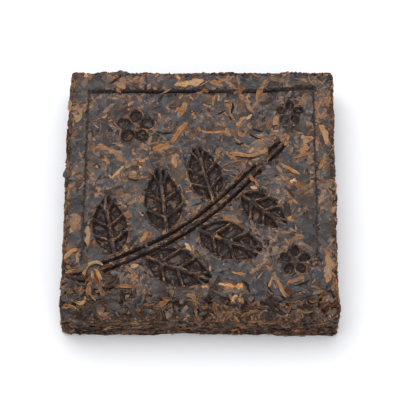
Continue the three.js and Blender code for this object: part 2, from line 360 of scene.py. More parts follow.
def leaf_rings(x, y, heading, length, aspect, veins):
    """Outlines of a sprig leaf's panels, on both sides of its midrib, parted by swept veins."""
    c, s = cos(heading), sin(heading)

    def place(along, across):
        """A point along the leaf, as a share of its length, and across it, turned by its heading."""
        a = LEAF_FOOT + along * length
        return x + c * a - s * across, y + s * a + c * across

    rings = []
    gap = VEIN / 2 / length
    for hand in (1, -1):
        for n in range(veins):
            start = n / veins + gap if n else LEAF_HEEL
            end = (n + 1) / veins - gap if n < veins - 1 else LEAF_POINT
            inner, outer = [], []
            for u in np.linspace(start, end, PANEL_STEPS):
                tip = min(u + VEIN_SWEEP, LEAF_END)
                wide = max(leaf_half_width(tip, length, aspect), MIDRIB)
                outer.append(place(tip, hand * wide))
                inner.append(place(u, hand * MIDRIB / 2))
            rings.append(inner + outer[::-1])
    return rings


def stem_rings():
    """Outlines of the two channels that leave the stem standing between them."""
    rings = []
    for hand in (1, -1):
        near, far = [], []
        for k in range(STEM_STEPS + 1):
            x, y, heading = on_stem(k / STEM_STEPS)
            nx, ny = -sin(heading) * hand, cos(heading) * hand
            near.append((x + nx * STEM_RIDGE / 2, y + ny * STEM_RIDGE / 2))
            far.append((x + nx * (STEM_RIDGE / 2 + CHANNEL), y + ny * (STEM_RIDGE / 2 + CHANNEL)))
        rings.append(near + far[::-1])
    return rings


def petal_rings(x, y, radius):
    """Outlines of a blossom's petals: ellipses round a raised middle."""
    rings = []
    for aim in pi / 2 + 2 * pi * np.arange(PETALS) / PETALS:
        turn = 2 * pi * np.arange(PETAL_STEPS) / PETAL_STEPS
        out = radius * (PETAL_CENTRE + PETAL_REACH * np.cos(turn))
        across = radius * PETAL_WIDTH * np.sin(turn)
        px = x + cos(aim) * out - sin(aim) * across
        py = y + sin(aim) * out + cos(aim) * across
        rings.append(list(zip(px, py)))
    return rings


def sunk_rings():
    """Every outline sunk into the face, with its depth."""
    rings = stem_rings()
    for at, heading, length in SPRIG_LEAVES:
        x, y, _ = on_stem(at)
        rings += leaf_rings(x, y, radians(heading), length, LEAF_ASPECT, VEINS)
    rings += leaf_rings(*on_stem(1), BUD_LENGTH, BUD_ASPECT, 1)
    petals = [ring for blossom in BLOSSOMS for ring in petal_rings(*blossom)]
    return [(ring, PRESS_DEPTH) for ring in rings] + [(ring, PETAL_DEPTH) for ring in petals]


def inside_distance(x, y, ring):
    """Distance from points to a ring's outline, above 0 inside it: the least distance to any of its
    edges, with the sign from how often a line to the right crosses the ring."""
    least = np.full(x.shape, np.inf)
    odd = np.zeros(x.shape, bool)
    for (x0, y0), (x1, y1) in zip(ring, ring[1:] + ring[:1]):
        dx, dy = x1 - x0, y1 - y0
        t = np.clip(((x - x0) * dx + (y - y0) * dy) / (dx * dx + dy * dy + TINY), 0, 1)
        least = np.minimum(least, np.hypot(x - x0 - t * dx, y - y0 - t * dy))
        crosses = (y0 > y) != (y1 > y)
        odd ^= crosses & (x < x0 + (y - y0) * dx / (dy if dy else TINY))
    return np.where(odd, least, -least)


def relief_map():
    """Depth sunk into the face on a fine square map: each outline's distance, eased down its wall,
    with uneven walls and floors, and a groove along the inside of the border."""
    depth = np.zeros((MAP_LINE.size, MAP_LINE.size))
    fine, coarse = WALL_SWAY_SPANS
    for ring, deep in RINGS:
        i0, j0 = np.searchsorted(MAP_LINE, np.min(ring, 0) - MAP_MARGIN)
        i1, j1 = np.searchsorted(MAP_LINE, np.max(ring, 0) + MAP_MARGIN)
        x, y = np.meshgrid(MAP_LINE[i0:i1], MAP_LINE[j0:j1])
        sway = WALL_SWAY * noise(x, y, fine) + WALL_SWAY * noise(x, y, coarse, (5, 0))
        worn = 1 - WORN + WORN * noise(x, y, WORN_SPAN, (0, 8))
        sunk = deep * worn * smooth(inside_distance(x, y, ring) + sway, *WALL)
        depth[j0:j1, i0:i1] = np.maximum(depth[j0:j1, i0:i1], sunk)
    x, y = np.meshgrid(MAP_LINE, MAP_LINE)
    beside, behind = off_field(x, y)
    off = np.maximum(beside, behind) + GROOVE_SWAY * noise(x, y, GROOVE_SWAY_SPAN)
    thin = 1 - SIDE_GROOVE_LESS * smooth(beside - behind, -GROOVE_CORNER, GROOVE_CORNER)
    shallow = thin * (1 - GROOVE_WORN * noise(x, y, GROOVE_WORN_SPAN, (9, 4)))
    line = smooth(np.abs(off), GROOVE_FLOOR / 2 * thin, GROOVE_WIDTH / 2 * thin)
    groove = GROOVE_DEPTH * shallow * (1 - line) * smooth(y, *GROOVE_FADE)
    return np.maximum(depth, groove)


def averaged(table, reach):
    """A map with each value averaged over a square that reaches that far in mm."""
    count = 2 * round(reach / MAP_STEP) + 1
    for axis in (0, 1):
        table = np.apply_along_axis(np.convolve, axis, table, np.full(count, 1 / count), "same")
    return table


RINGS = sunk_rings()
RELIEF = relief_map()
NEAR_RELIEF = averaged(RELIEF, AVERAGE_REACH)


def sample(table, x, y):
    """The map's value at any point, mixed from the four map points around it."""
    last = MAP_LINE.size - 1.001
    i, j = (np.clip((u + MAP_HALF) / MAP_STEP, 0, last) for u in (x, y))
    i0, j0 = i.astype(int), j.astype(int)
    s, t = i - i0, j - j0
    near = table[j0, i0] * (1 - s) + table[j0, i0 + 1] * s
    far = table[j0 + 1, i0] * (1 - s) + table[j0 + 1, i0 + 1] * s
    return near * (1 - t) + far * t


def sunk_depth(x, y):
    """How deep the face is sunk at a point: the map, filled again where the leaves are loose."""
    return sample(RELIEF, x, y) * (1 - LOOSE_FILL * looseness(x, y))


def sunk_painted_shade(x, y):
    """Painted shade on the sunk face: 0 on the level face, more on a sunk floor, where the leaves
    still show, and 1 in narrow places and by a wall, where the depth is above the average near it."""
    by_wall = smooth(sample(RELIEF, x, y) - sample(NEAR_RELIEF, x, y), *BELOW_AVERAGE)
    share = smooth(sunk_depth(x, y) / PRESS_DEPTH, *SUNK_SHARES)
    return share * (FLOOR_PAINTED_SHADE + (1 - FLOOR_PAINTED_SHADE) * by_wall)


def face_height(x, y):
    """Height of the pressed face with its relief."""
    return bare_height(x, y) - sunk_depth(x, y)


def relief_along(x, y):
    """The direction of the nearest ridge or wall at a point, and how strong the relief is there."""
    gx = sample(RELIEF, x + SLOPE_STEP, y) - sample(RELIEF, x - SLOPE_STEP, y)
    gy = sample(RELIEF, x, y + SLOPE_STEP) - sample(RELIEF, x, y - SLOPE_STEP)
    return np.arctan2(gx, -gy), np.hypot(gx, gy)


def side_relief(side, along, z):
    """How far a side stands proud at a distance along it and a height: thin layers lying flat."""
    u, v = along / SIDE_SPAN + SIDE_SHIFT[0] * side, z / LAYER_SPAN + SIDE_SHIFT[1] * side
    return SIDE_RELIEF * bumps(u, v) - SIDE_SINK


def around(s):
    """The path round the slab at distance s from the front right corner's end, against the clock:
    four straights joined by quarter arcs. Gives its points and its outward directions."""
    s = np.mod(s, ROUND)
    side = np.minimum(np.floor(s / (STRAIGHT + ARC)), 3)
    local = s - side * (STRAIGHT + ARC)
    turned = np.clip((local - STRAIGHT) / CORNER_RADIUS, 0, pi / 2)
    ahead = np.minimum(local, STRAIGHT) - STRAIGHT / 2 + CORNER_RADIUS * np.sin(turned)
    out = HALF - CORNER_RADIUS * (1 - np.cos(turned))
    turn = side * pi / 2
    x = out * np.cos(turn) - ahead * np.sin(turn)
    y = out * np.sin(turn) + ahead * np.cos(turn)
    return x, y, np.cos(turn + turned), np.sin(turn + turned)


def rounded_relief(x, y, nx, ny, z):
    """The layered sides' relief for an outward direction: the two nearest sides', mixed."""
    from_x = nx**2 * side_relief(np.where(nx > 0, 1, 2), y, z)
    return from_x + ny**2 * side_relief(np.where(ny > 0, 3, 4), x, z)


def foot_flare(nx, ny, z):
    """How far the front and the left side spread at their foot, for an outward direction."""
    share = np.minimum(nx, 0) ** 2 + np.minimum(ny, 0) ** 2
    return FOOT_FLARE * share * (1 - smooth(z, 0, FOOT_RISE))


def side_point(s, z, lift):
    """A point on the slab's side, at a height and a distance out of the layered surface."""
    x, y, nx, ny = around(s)
    out = rounded_relief(x, y, nx, ny, z) + foot_flare(nx, ny, z) + lift
    return x + nx * out, y + ny * out, z


def over_edge(s, q, lift):
    """A point by the slab's top edge: q above 0 is that far in on the face, q below 0 that far down
    the side, and it is lifted in a direction that turns from level to upright over the edge."""
    x, y, nx, ny = around(s)
    inside, down = np.maximum(q, 0), np.maximum(-q, 0)
    fx, fy = x - nx * inside, y - ny * inside
    upright = smooth(q, *EDGE_TURN)
    z = bare_height(fx, fy) - down
    out = rounded_relief(x, y, nx, ny, z) * (1 - smooth(inside, 0, EDGE_FADE)) + lift * (1 - upright)
    return fx + nx * out, fy + ny * out, z + lift * upright


# Meshes

def mesh_piece(name, points, faces, attributes, smooth_shade, material):
    """A mesh from whole arrays: points in mm, faces as arrays of equal corner counts, and values
    that each point carries."""
    mesh = bpy.data.meshes.new(name)
    corners = np.concatenate([f.ravel() for f in faces]).astype(np.int32)
    totals = np.concatenate([np.full(len(f), f.shape[1]) for f in faces]).astype(np.int32)
    mesh.vertices.add(len(points))
    mesh.vertices.foreach_set("co", (points * MM).astype(np.float32).ravel())
    mesh.loops.add(corners.size)
    mesh.loops.foreach_set("vertex_index", corners)
    mesh.polygons.add(totals.size)
    mesh.polygons.foreach_set("loop_start", np.cumsum(totals, dtype=np.int32) - totals)
    mesh.update(calc_edges=True)
    for key, values in attributes.items():
        flat = values.ndim == 1
        layer = mesh.attributes.new(key, "FLOAT" if flat else "FLOAT_VECTOR", "POINT")
        layer.data.foreach_set("value" if flat else "vector", values.astype(np.float32).ravel())
    mesh.polygons.foreach_set("use_smooth", np.full(totals.size, smooth_shade))
    mesh.materials.append(material)
    piece = bpy.data.objects.new(name, mesh)
    bpy.context.scene.collection.objects.link(piece)
    return piece


def grid_lines(fine_half, fine, coarse):
    """Grid lines from edge to edge: fine steps in the middle, coarse ones outside it."""
    middle = np.linspace(-fine_half, fine_half, round(2 * fine_half / fine) + 1)
    outer = np.linspace(fine_half, HALF, round((HALF - fine_half) / coarse) + 1)[1:]
    return np.concatenate([-outer[::-1], middle, outer])


def round_corners(x, y):
    """Moves a square's points into a square with round corners: near a corner, the square round the
    arc's middle is drawn in to a disc."""
    inner = HALF - CORNER_RADIUS
    dx, dy = np.maximum(np.abs(x) - inner, 0), np.maximum(np.abs(y) - inner, 0)
    shrink = np.maximum(dx, dy) / np.maximum(np.hypot(dx, dy), TINY)
    both = (dx > 0) & (dy > 0)
    rx = np.where(both, np.sign(x) * (inner + dx * shrink), x)
    ry = np.where(both, np.sign(y) * (inner + dy * shrink), y)
    return rx, ry


def core_face(x0, y0):
    """The core's face: a square grid with its corners rounded, at the face's height, roughened by
    folds except in the relief, its edges moved outwards as the layered sides are."""
    x, y = round_corners(x0, y0)
    z = face_height(x0, y0) - CORE_SINK
    near = 1 - smooth(np.minimum(HALF - np.abs(x0), HALF - np.abs(y0)), 0, EDGE_FADE)
    nx = np.where(np.abs(x0) >= np.abs(y0), np.sign(x0), 0)
    ny = np.where(np.abs(y0) > np.abs(x0), np.sign(y0), 0)
    out = near * (rounded_relief(x, y, nx, ny, z) - CORE_SINK)
    x, y = x + nx * out, y + ny * out
    z = z + FOLD * noise(x, y, FOLD_SPAN) * (1 - smooth(sunk_depth(x0, y0), *FOLD_FADE))
    return np.stack([x, y, z], -1).reshape(-1, 3)


def core_wall(x0, y0, top):
    """The core's side: rows of points from the top's heights down to the underside, each row out
    along its corner's or side's direction by the layers, the folds and the flared foot."""
    x, y = round_corners(x0, y0)
    inner = HALF - CORNER_RADIUS
    nx, ny = (u - np.sign(u) * np.minimum(np.abs(u), inner) for u in (x, y))
    size = np.maximum(np.hypot(nx, ny), TINY)
    nx, ny = nx / size, ny / size
    along, up = SIDE_FOLD_SPANS
    rows = []
    for part in np.arange(1, CORE_ROWS + 1) / CORE_ROWS:
        z = top * (1 - part) + CORE_SINK * part
        out = rounded_relief(x, y, nx, ny, z) - CORE_SINK
        out += SIDE_FOLD * bumps((x + y) / along, z / up) + foot_flare(nx, ny, z)
        rows.append(np.stack([x + nx * out, y + ny * out, z], -1))
    return rows


def core_piece(material):
    """The pressed core: a grid over the face, rows down the layered side and a fan underneath. It
    carries painted shade where it shows between the leaves: some on its face, more where that is sunk or
    loose, and much on its sides and underneath."""
    line = grid_lines(CORE_FINE_HALF, CORE_FINE_STEP, CORE_COARSE_STEP)
    n = line.size
    x, y = np.meshgrid(line, line)
    ids = np.arange(n * n).reshape(n, n)
    ring = np.concatenate([ids[:-1, -1], ids[-1, :0:-1], ids[:0:-1, 0], ids[0, :-1]])
    face = core_face(x, y)
    wall = core_wall(x.ravel()[ring], y.ravel()[ring], face[ring, 2])
    points = np.concatenate([face, *wall, [[0, 0, CORE_SINK]]])

    quads = [np.stack([ids[:-1, :-1], ids[:-1, 1:], ids[1:, 1:], ids[1:, :-1]], -1).reshape(-1, 4)]
    m = ring.size
    levels = [ring] + [n * n + k * m + np.arange(m) for k in range(CORE_ROWS)]
    for upper, lower in zip(levels, levels[1:]):
        quads.append(np.stack([upper, lower, np.roll(lower, -1), np.roll(upper, -1)], -1))
    last = levels[-1]
    fan = np.stack([np.full(m, len(points) - 1), np.roll(last, -1), last], -1)

    # Painted shade where the core shows between the leaves.
    dark = np.full(len(points), CORE_SIDE_PAINTED_SHADE)
    sunk = CORE_FACE_PAINTED_SHADE + (1 - CORE_FACE_PAINTED_SHADE) * sunk_painted_shade(x, y)
    dark[: n * n] = np.maximum(sunk, CORE_LOOSE_PAINTED_SHADE * looseness(x, y)).ravel()
    return mesh_piece("pressed_core", points, quads + [fan], {"dark": dark}, True, material)


# Leaves

def per_leaf(values):
    """One value for each leaf, shaped to go with all of its points."""
    return values[:, None, None]


def crowded(rows):
    """Rows from -1 to 1 that crowd towards both ends: the sine of even steps."""
    return np.sin(np.linspace(-pi / 2, pi / 2, rows))


def lobed(rng, count, s, lobes):
    """How much wider or narrower each leaf is along one edge: 1 plus a few random sine waves."""
    wave = 0
    for k in range(1, LOBE_WAVES + 1):
        phase = rng.uniform(0, 2 * pi, (count, 1))
        wave = wave + np.sin(LOBE_PACE * k * s + phase) * rng.normal(size=(count, 1))
    return np.clip(1 + lobes * wave, *LOBE_LIMITS)


def bent_lines(rng, s, length, curl):
    """Middle lines that turn by a random share of the curl from their middles to their ends, and bend
    back by some of it: points along and across, and headings."""
    count = length.size
    bend = rng.normal(size=(count, 1)) * s
    heading = curl * (bend + BEND_BACK * rng.normal(size=(count, 1)) * np.sin(pi * s))
    mid = (heading[:, 1:] + heading[:, :-1]) / 2
    step = np.diff(s) * length[:, None] / 2
    x, y = (np.pad(np.cumsum(way(mid) * step, 1), ((0, 0), (1, 0))) for way in (np.cos, np.sin))
    return x - (x[:, -1:] + x[:, :1]) / 2, y - y.mean(1, keepdims=True), heading


class Leaves:
    """A batch of leaves before it is laid down: how far along, across and up each point is."""

    def __init__(self, rng, section, rows, length, width, thick, *, blunt=(1.6, 5), curl=0.3, lobes=0.1,
                 tilt=0.0, roll=0.0, lines=None):
        """Rows crowd towards both ends, at s from -1 to 1. Each edge is (1 - |s|^blunt)^fullness of
        half the width from the middle line, plus a little at the tips, and lobed. The middle line
        bends by the curl, or is given. The section rolls about it, and one end is tilted up by the
        tilt in mm per mm."""
        count = length.size
        s = crowded(rows)[None, :]
        body = (1 - np.abs(s) ** rng.uniform(*blunt, (count, 1))) ** FULLNESS
        body = TIP_WIDTH + (1 - TIP_WIDTH) * body
        left, right = (body * width[:, None] / 2 * lobed(rng, count, s, lobes) for _ in range(2))
        if lines is None:
            x, y, heading = bent_lines(rng, s, length, curl)
        else:
            x, y = lines[..., 0], lines[..., 1]
            heading = np.arctan2(np.gradient(y, axis=1), np.gradient(x, axis=1))
        side, inset, high, shade = np.array(section, float).T
        half = np.where(side < 0, left[..., None], right[..., None])
        out = side * np.maximum(half - inset * BEVEL, TOP_SHARE * half)
        up = high * per_leaf(thick) * (TIP_THICK + (1 - TIP_THICK) * body[..., None])
        rolled = roll * rng.normal(size=(count, 1, 1))
        across = out * np.cos(rolled) - up * np.sin(rolled)
        far = (s * length[:, None] / 2)[..., None]
        tilted = tilt * rng.normal(size=(count, 1, 1)) * far
        own = rng.uniform(0, GRAIN_APART, (count, 1, 1))
        # The rim shade is painted shade at each leaf's feet, less on narrow leaves.
        rim_shade = NARROW_RIM + (1 - NARROW_RIM) * np.minimum(width / BROAD, 1)
        self.rng, self.count = rng, count
        self.along = x[..., None] - np.sin(heading)[..., None] * across
        self.across = y[..., None] + np.cos(heading)[..., None] * across
        self.up = out * np.sin(rolled) + up * np.cos(rolled) + tilted
        self.grain = np.stack(np.broadcast_arrays(far, out, own), -1)
        self.rim_shade = np.broadcast_to(shade * per_leaf(rim_shade), out.shape)

    def turned(self, turn, size=1.0):
        """Along and across, turned by an angle for each leaf and made smaller or larger."""
        c, s = per_leaf(np.cos(turn) * size), per_leaf(np.sin(turn) * size)
        return self.along * c - self.across * s, self.along * s + self.across * c

    def piece(self, name, x, y, z, dark, tone, material, keep=slice(None)):
        """Many closed strips in one mesh, of the leaves that are kept, at the places given. Points are
        by strip, row and place round the section; quads join the rows and one face shuts each end."""
        points = np.stack([x, y, np.minimum(z, TOP_LIMIT)], -1)[keep]
        count, rows, around_it, _ = points.shape
        ids = np.arange(count * rows * around_it).reshape(count, rows, around_it)
        nxt = np.roll(ids, -1, 2)
        quads = np.stack([ids[:, :-1], ids[:, 1:], nxt[:, 1:], nxt[:, :-1]], -1).reshape(-1, 4)
        caps = np.concatenate([ids[:, 0], ids[:, -1, ::-1]])
        values = {
            "grain": self.grain[keep].reshape(-1, 3),
            "tone": np.repeat(tone[keep], rows * around_it),
            # dark: the painted shade of every point
            "dark": dark[keep].ravel(),
        }
        return mesh_piece(name, points.reshape(-1, 3), [quads, caps], values, False, material)


def shares(count, start):
    """Evenly scattered pairs of shares from 0 to 1: each next one is a fixed step further."""
    k = start + np.arange(count)
    return np.mod(k * ACROSS_STEP, 1), np.mod(k * ALONG_STEP, 1)


def spread(count, start, margin):
    """Evenly scattered places in the slab's square, inside a margin."""
    return ((share - 0.5) * (SIDE - 2 * margin) for share in shares(count, start))


def between(rng, count, low, high, power=1.6):
    """Random values from low to high, more of them near the low end."""
    return low + (high - low) * rng.uniform(0, 1, count) ** power


def sizes(rng, count, length, width, slender, power=1.3):
    """Random lengths and widths, each leaf no wider than a share of its length, slender."""
    long = between(rng, count, *length)
    return long, np.minimum(between(rng, count, *width, power), slender * long)


def tones(rng, count, middle, spread_by):
    """A tone for each leaf, from 0 dark to 1 light."""
    return np.clip(rng.normal(middle, spread_by, count), 0, 1)


def clusters(x, y):
    """About 1 where the brown leaves gather on the face and 0 where there are few: one half plus two
    noises."""
    return sum((strength * noise(x, y, *pattern) for strength, *pattern in CLUSTER_NOISES), 0.5)


def buried(dark, depth):
    """Painted shade for leaves that lie deeper: at depths from 0 to 1, they are painted darker by the
    square.
    """
    return 1 - (1 - dark) * (1 - BURIED_PAINTED_SHADE * per_leaf(depth) ** 2)


def into(value, low, high):
    """Moves whole leaves so that they lie between a low and a high limit of their own."""
    over = np.maximum(value.max((1, 2)) - high, 0)
    under = np.maximum(low - value.min((1, 2)), 0)
    return value + per_leaf(under - over)


def panel_limits(cx, cy, reach, gap):
    """The box a leaf has to stay in: the field inside the groove, or the border outside it. Across the
    front, where there is no groove, it is the whole face."""
    line, back = HALF - BORDER, back_line(cx)
    out_x, out_y = off_field(cx, cy)
    grooved = cy > GROOVE_FRONT
    field = grooved & (out_x < 0) & (out_y < 0)
    behind = grooved & ~field & (out_y >= out_x)
    beside = grooved & ~field & (out_y < out_x)
    thin = gap * (1 - SIDE_GROOVE_LESS) - SIDE_GAP_LESS
    low_x = np.where(field, thin - line, np.where(beside & (cx > 0), line + thin, -reach))
    high_x = np.where(field, line - thin, np.where(beside & (cx < 0), -line - thin, reach))
    low_y = np.where(behind, back + gap, -reach)
    high_y = np.where(field, back - gap, reach)
    return low_x, high_x, low_y, high_y


def lay_on_face(leaves, cx, cy, turn, lift, rough=0.25):
    """Lays leaves on the pressed face, every point at the face's height there plus its own lift. Each
    stays on its own side of the groove. Those that bridge a wall of the relief turn along it and
    shrink, a few times, and aren't kept if they still bridge it. Gives points, painted shade (at the
    leaves' feet, on sunk floors and by walls) and which leaves are kept."""
    rng, count = leaves.rng, leaves.count
    reach = FACE_REACH + rough * rng.normal(size=count)
    gap = GROOVE_GAP + GROOVE_GAP_SPREAD * rng.normal(size=count)
    low_x, high_x, low_y, high_y = panel_limits(cx, cy, reach, gap)
    size = np.ones(count)
    for _ in range(FIT_TRIES):
        a, b = leaves.turned(turn, size)
        wide, deep = np.ptp(a, axis=(1, 2)), np.ptp(b, axis=(1, 2))
        fit = np.minimum(1, np.minimum((high_x - low_x) / wide, (high_y - low_y) / deep))
        x = into(per_leaf(cx) + a * per_leaf(fit), low_x, high_x)
        y = into(per_leaf(cy) + b * per_leaf(fit), low_y, high_y)
        bridges = np.ptp(sunk_depth(x, y).reshape(count, -1), axis=1) > BRIDGE
        wall, strength = relief_along(x.mean((1, 2)), y.mean((1, 2)))
        along_wall = wall + rng.normal(0, FIT_TURN, count)
        turn = np.where(bridges & (strength > FIT_SLOPE), along_wall, turn)
        size = np.where(bridges, size * FIT_SHRINK, size)
    z = face_height(x, y) + leaves.up * per_leaf(size) + per_leaf(lift) - LEAF_ROOT
    # Painted shade on sunk floors and by walls, with the painted shade at the leaves' feet.
    sunk = SUNK_PAINTED_SHADE * rng.uniform(SUNK_PAINTED_SHADE_LEAST, 1, (count, 1, 1)) * sunk_painted_shade(x, y)
    return x, y, z, 1 - (1 - RIM_PAINTED_SHADE * leaves.rim_shade) * (1 - sunk), ~bridges


def face_leaves(name, seed, count, length, width, tone, lift, material, rows=7, lobes=0.12,
                gathered=False):
    """Flat leaves flush with the face, scattered evenly all over it, or gathered in its clusters."""
    rng = np.random.default_rng(seed)
    cx, cy = (u + rng.normal(0, FACE_JITTER, count) for u in spread(count, FACE_START * seed, FACE_MARGIN))
    kept = looseness(cx, cy) < rng.uniform(*FACE_PICK, count)
    if gathered:
        kept &= rng.uniform(*CLUSTER_PICK, count) < clusters(cx, cy)
    cx, cy = cx[kept], cy[kept]
    count = cx.size
    long, wide = sizes(rng, count, length, width, slender=0.55)
    leaves = Leaves(rng, FLAT, rows, long, wide, np.full(count, FLAT_THICK), lobes=lobes)
    turn = rng.uniform(0, 2 * pi, count)
    x, y, z, dark, keep = lay_on_face(leaves, cx, cy, turn, rng.uniform(*lift, count))
    return leaves.piece(name, x, y, z, dark, tones(rng, count, *tone), material, keep)


def rim_places(rng, spacing):
    """Places at even steps along every outline of the relief, and the outline's headings there."""
    places = []
    for ring, _ in RINGS:
        ring = np.array(ring)
        step = np.roll(ring, -1, 0) - ring
        run = np.hypot(*step.T)
        mark = np.concatenate([[0], np.cumsum(run)])
        at = np.arange(rng.uniform(0, spacing), mark[-1], spacing)
        k = np.searchsorted(mark, at, side="right") - 1
        part = ((at - mark[k]) / run[k])[:, None]
        heading = np.arctan2(step[k, 1], step[k, 0])
        places.append(np.column_stack([ring[k] + step[k] * part, heading]))
    return np.concatenate(places).T


def rim_leaves(name, seed, spacing, length, width, thick, tone, material):
    """Slender leaves along the edges of the relief, a little outside every outline and turned along
    it."""
    rng = np.random.default_rng(seed)
    cx, cy, heading = rim_places(rng, spacing)
    count = cx.size
    off = rng.normal(*RIM_OFF, count)
    gx, gy = np.cos(heading + pi / 2), np.sin(heading + pi / 2)
    left, right = (sunk_depth(cx + gx * probe, cy + gy * probe) for probe in (RIM_PROBE, -RIM_PROBE))
    outward = np.sign(right - left)
    cx, cy = cx + gx * outward * off, cy + gy * outward * off
    long, wide = between(rng, count, *length), between(rng, count, *width)
    leaves = Leaves(rng, DOMED, 6, long, wide, np.full(count, thick), curl=0.25)
    turn = heading + rng.normal(0, RIM_TURN, count)
    x, y, z, dark, keep = lay_on_face(leaves, cx, cy, turn, rng.uniform(0, RIM_LIFT, count))
    return leaves.piece(name, x, y, z, dark, tones(rng, count, *tone), material, keep)


def loose_leaves(name, seed, count, length, width, thick, tone, material, curl, section=ROLLED, high=0.8):
    """Leaves that lie loose in the band along the front: bent, tilted and partly buried, the deeper ones
    with more painted shade.
    """
    rng = np.random.default_rng(seed)
    cx, cy = spread(count * LOOSE_TRIES, LOOSE_START * seed, LOOSE_MARGIN)
    pick = looseness(cx, cy) > rng.uniform(*LOOSE_PICK, cx.size)
    pick &= clusters(cx, cy) > rng.uniform(*LOOSE_CLUSTER_PICK, cx.size)
    cx, cy = cx[pick], cy[pick]
    count = cx.size
    long, wide = sizes(rng, count, length, width, slender=0.6)
    leaves = Leaves(rng, section, 8, long, wide, between(rng, count, *thick), curl=curl, lobes=0.14,
                    tilt=0.14, roll=0.5)
    turn = rng.normal(0, LOOSE_TURN, count)
    rise = rng.uniform(LOOSE_LOW, high, count)
    lift = rise * looseness(cx, cy) - LOOSE_SINK
    x, y, z, dark, keep = lay_on_face(leaves, cx, cy, turn, lift, rough=LOOSE_ROUGH)
    # Painted shade, more on the deeper leaves.
    dark = buried(dark, (high - rise) / (high - LOOSE_LOW))
    return leaves.piece(name, x, y, z, dark, tones(rng, count, *tone), material, keep)


def through(points, rows):
    """A smooth line through a few points: a polynomial of up to the third power each way."""
    t = np.linspace(-1, 1, len(points))
    power = min(len(points) - 1, 3)
    ways = np.array(points, float).T
    return np.stack([np.polyval(np.polyfit(t, way, power), crowded(rows)) for way in ways], -1)


def named_flakes(name, seed, flakes, thick, material, section=ROLLED, lift=0.1, lobes=0.16, shade=0.0):
    """Flakes that stand out by themselves: each follows a smooth line through its own places, sags a
    little into what is sunk, and has painted shade at its feet, at least as much as the shade given."""
    rng = np.random.default_rng(seed)
    lines = np.stack([through(places, FLAKE_ROWS) for _, _, *places in flakes])
    run = np.hypot(*np.moveaxis(np.diff(lines, axis=1), -1, 0)).sum(1)
    wide, tone = np.array([flake[:2] for flake in flakes]).T
    leaves = Leaves(rng, section, FLAKE_ROWS, run, wide, np.full(len(flakes), thick), blunt=(2.5, 6),
                    lobes=lobes, roll=0.25, lines=lines)
    x, y = leaves.along, leaves.across
    z = np.maximum(face_height(x, y), bare_height(x, y) - SAG) + leaves.up + lift - LEAF_ROOT
    return leaves.piece(name, x, y, z, np.maximum(RIM_PAINTED_SHADE * leaves.rim_shade, shade), tone, material)


def side_leaves(name, seed, count, length, height, tone, lift, material, rows=6):
    """Thin strips that lie in layers round the four sides, most of them level, a little proud, the ones
    further in with more painted shade.
    """
    rng = np.random.default_rng(seed)
    at, high = shares(count, SIDE_START * seed)
    long, wide = sizes(rng, count, length, height, slender=0.75, power=1.2)
    thick = between(rng, count, 0.2, 0.8)
    leaves = Leaves(rng, DOMED, rows, long, wide, thick, curl=0.8, lobes=0.25, roll=0.5)
    a, b = leaves.turned(rng.normal(0, SIDE_TURN, count) * np.minimum(1, SIDE_STEADY / long))
    along = per_leaf(at * ROUND) + a
    limit = HALF - SIDE_INSIDE
    inside = (np.clip(u, -limit, limit) for u in around(along)[:2])
    middle = SIDE_FOOT + (THICK - SIDE_MARGINS) * high
    z = np.clip(per_leaf(middle) + b, SIDE_LOWEST, bare_height(*inside) - SIDE_BELOW_FACE)
    out = rng.uniform(*lift, count)
    x, y, z = side_point(along, z, leaves.up + per_leaf(out))
    # Painted shade at the feet, and more on the strips that lie further in.
    dark = buried(RIM_PAINTED_SHADE * leaves.rim_shade, (lift[1] - out) / (lift[1] - lift[0]))
    return leaves.piece(name, x, y, z, dark, tones(rng, count, *tone), material)


def edge_leaves(name, seed, count, length, tone, material, *, start, run, inward, width, slender, thick,
                section, rows, curl, roll, turn):
    """Leaves that bend over the top edge, at even steps along a run of it and a random way in from
    it, each turned at random."""
    rng = np.random.default_rng(seed)
    s = start + np.mod((seed + np.arange(count)) * ROUND_STEP, 1) * run
    q = rng.uniform(*inward, count)
    long, wide = sizes(rng, count, length, width, slender)
    leaves = Leaves(rng, section, rows, long, wide, between(rng, count, *thick), curl=curl, lobes=0.18,
                    roll=roll)
    a, b = leaves.turned(rng.normal(0, turn, count))
    lift = leaves.up - per_leaf(rng.uniform(0, EDGE_ROOT, count)) - LEAF_ROOT
    x, y, z = over_edge(per_leaf(s) + a, per_leaf(q) + b, lift)
    # Painted shade at the leaves' feet.
    return leaves.piece(name, x, y, z, RIM_PAINTED_SHADE * leaves.rim_shade, tones(rng, count, *tone), material)


def under_leaves(name, seed, count, length, width, tone, material):
    """Flat leaves pressed flush underneath."""
    rng = np.random.default_rng(seed)
    cx, cy = spread(count, UNDER_START * seed, UNDER_MARGIN)
    long, wide = sizes(rng, count, length, width, slender=0.7)
    leaves = Leaves(rng, FLAT, 6, long, wide, np.full(count, FLAT_THICK), lobes=0.12)
    a, b = leaves.turned(rng.uniform(0, 2 * pi, count))
    limit = UNDER_REACH + UNDER_RAGGED * rng.normal(size=count)
    x = into(per_leaf(cx) + a, -limit, limit)
    y = into(per_leaf(cy) - b, -limit, limit)
    z = CORE_SINK + UNDER_SINK - leaves.up - per_leaf(rng.uniform(0, UNDER_SINK, count))
    # Painted shade at the leaves' feet, less than on top.
    dark = UNDER_PAINTED_SHADE * RIM_PAINTED_SHADE * leaves.rim_shade
    return leaves.piece(name, x, y, z, dark, tones(rng, count, *tone), material)


# Materials

# The almost black colour that painted shade takes things towards
PAINTED_SHADE_COLOUR = (33, 15, 7)
# Colours from dark to light: each stop's place and its colour
# The grey-blue stops are partly the leaves' own colour and partly a painted sheen.
GROUND_STOPS = (
    (0.0, (24, 17, 13)),
    (0.25, (40, 33, 30)),
    (0.4, (50, 47, 50)),
    (0.52, (60, 62, 69)),
    (0.63, (79, 68, 61)),
    (0.78, (106, 81, 63)),
    (1.0, (146, 110, 80)),
)
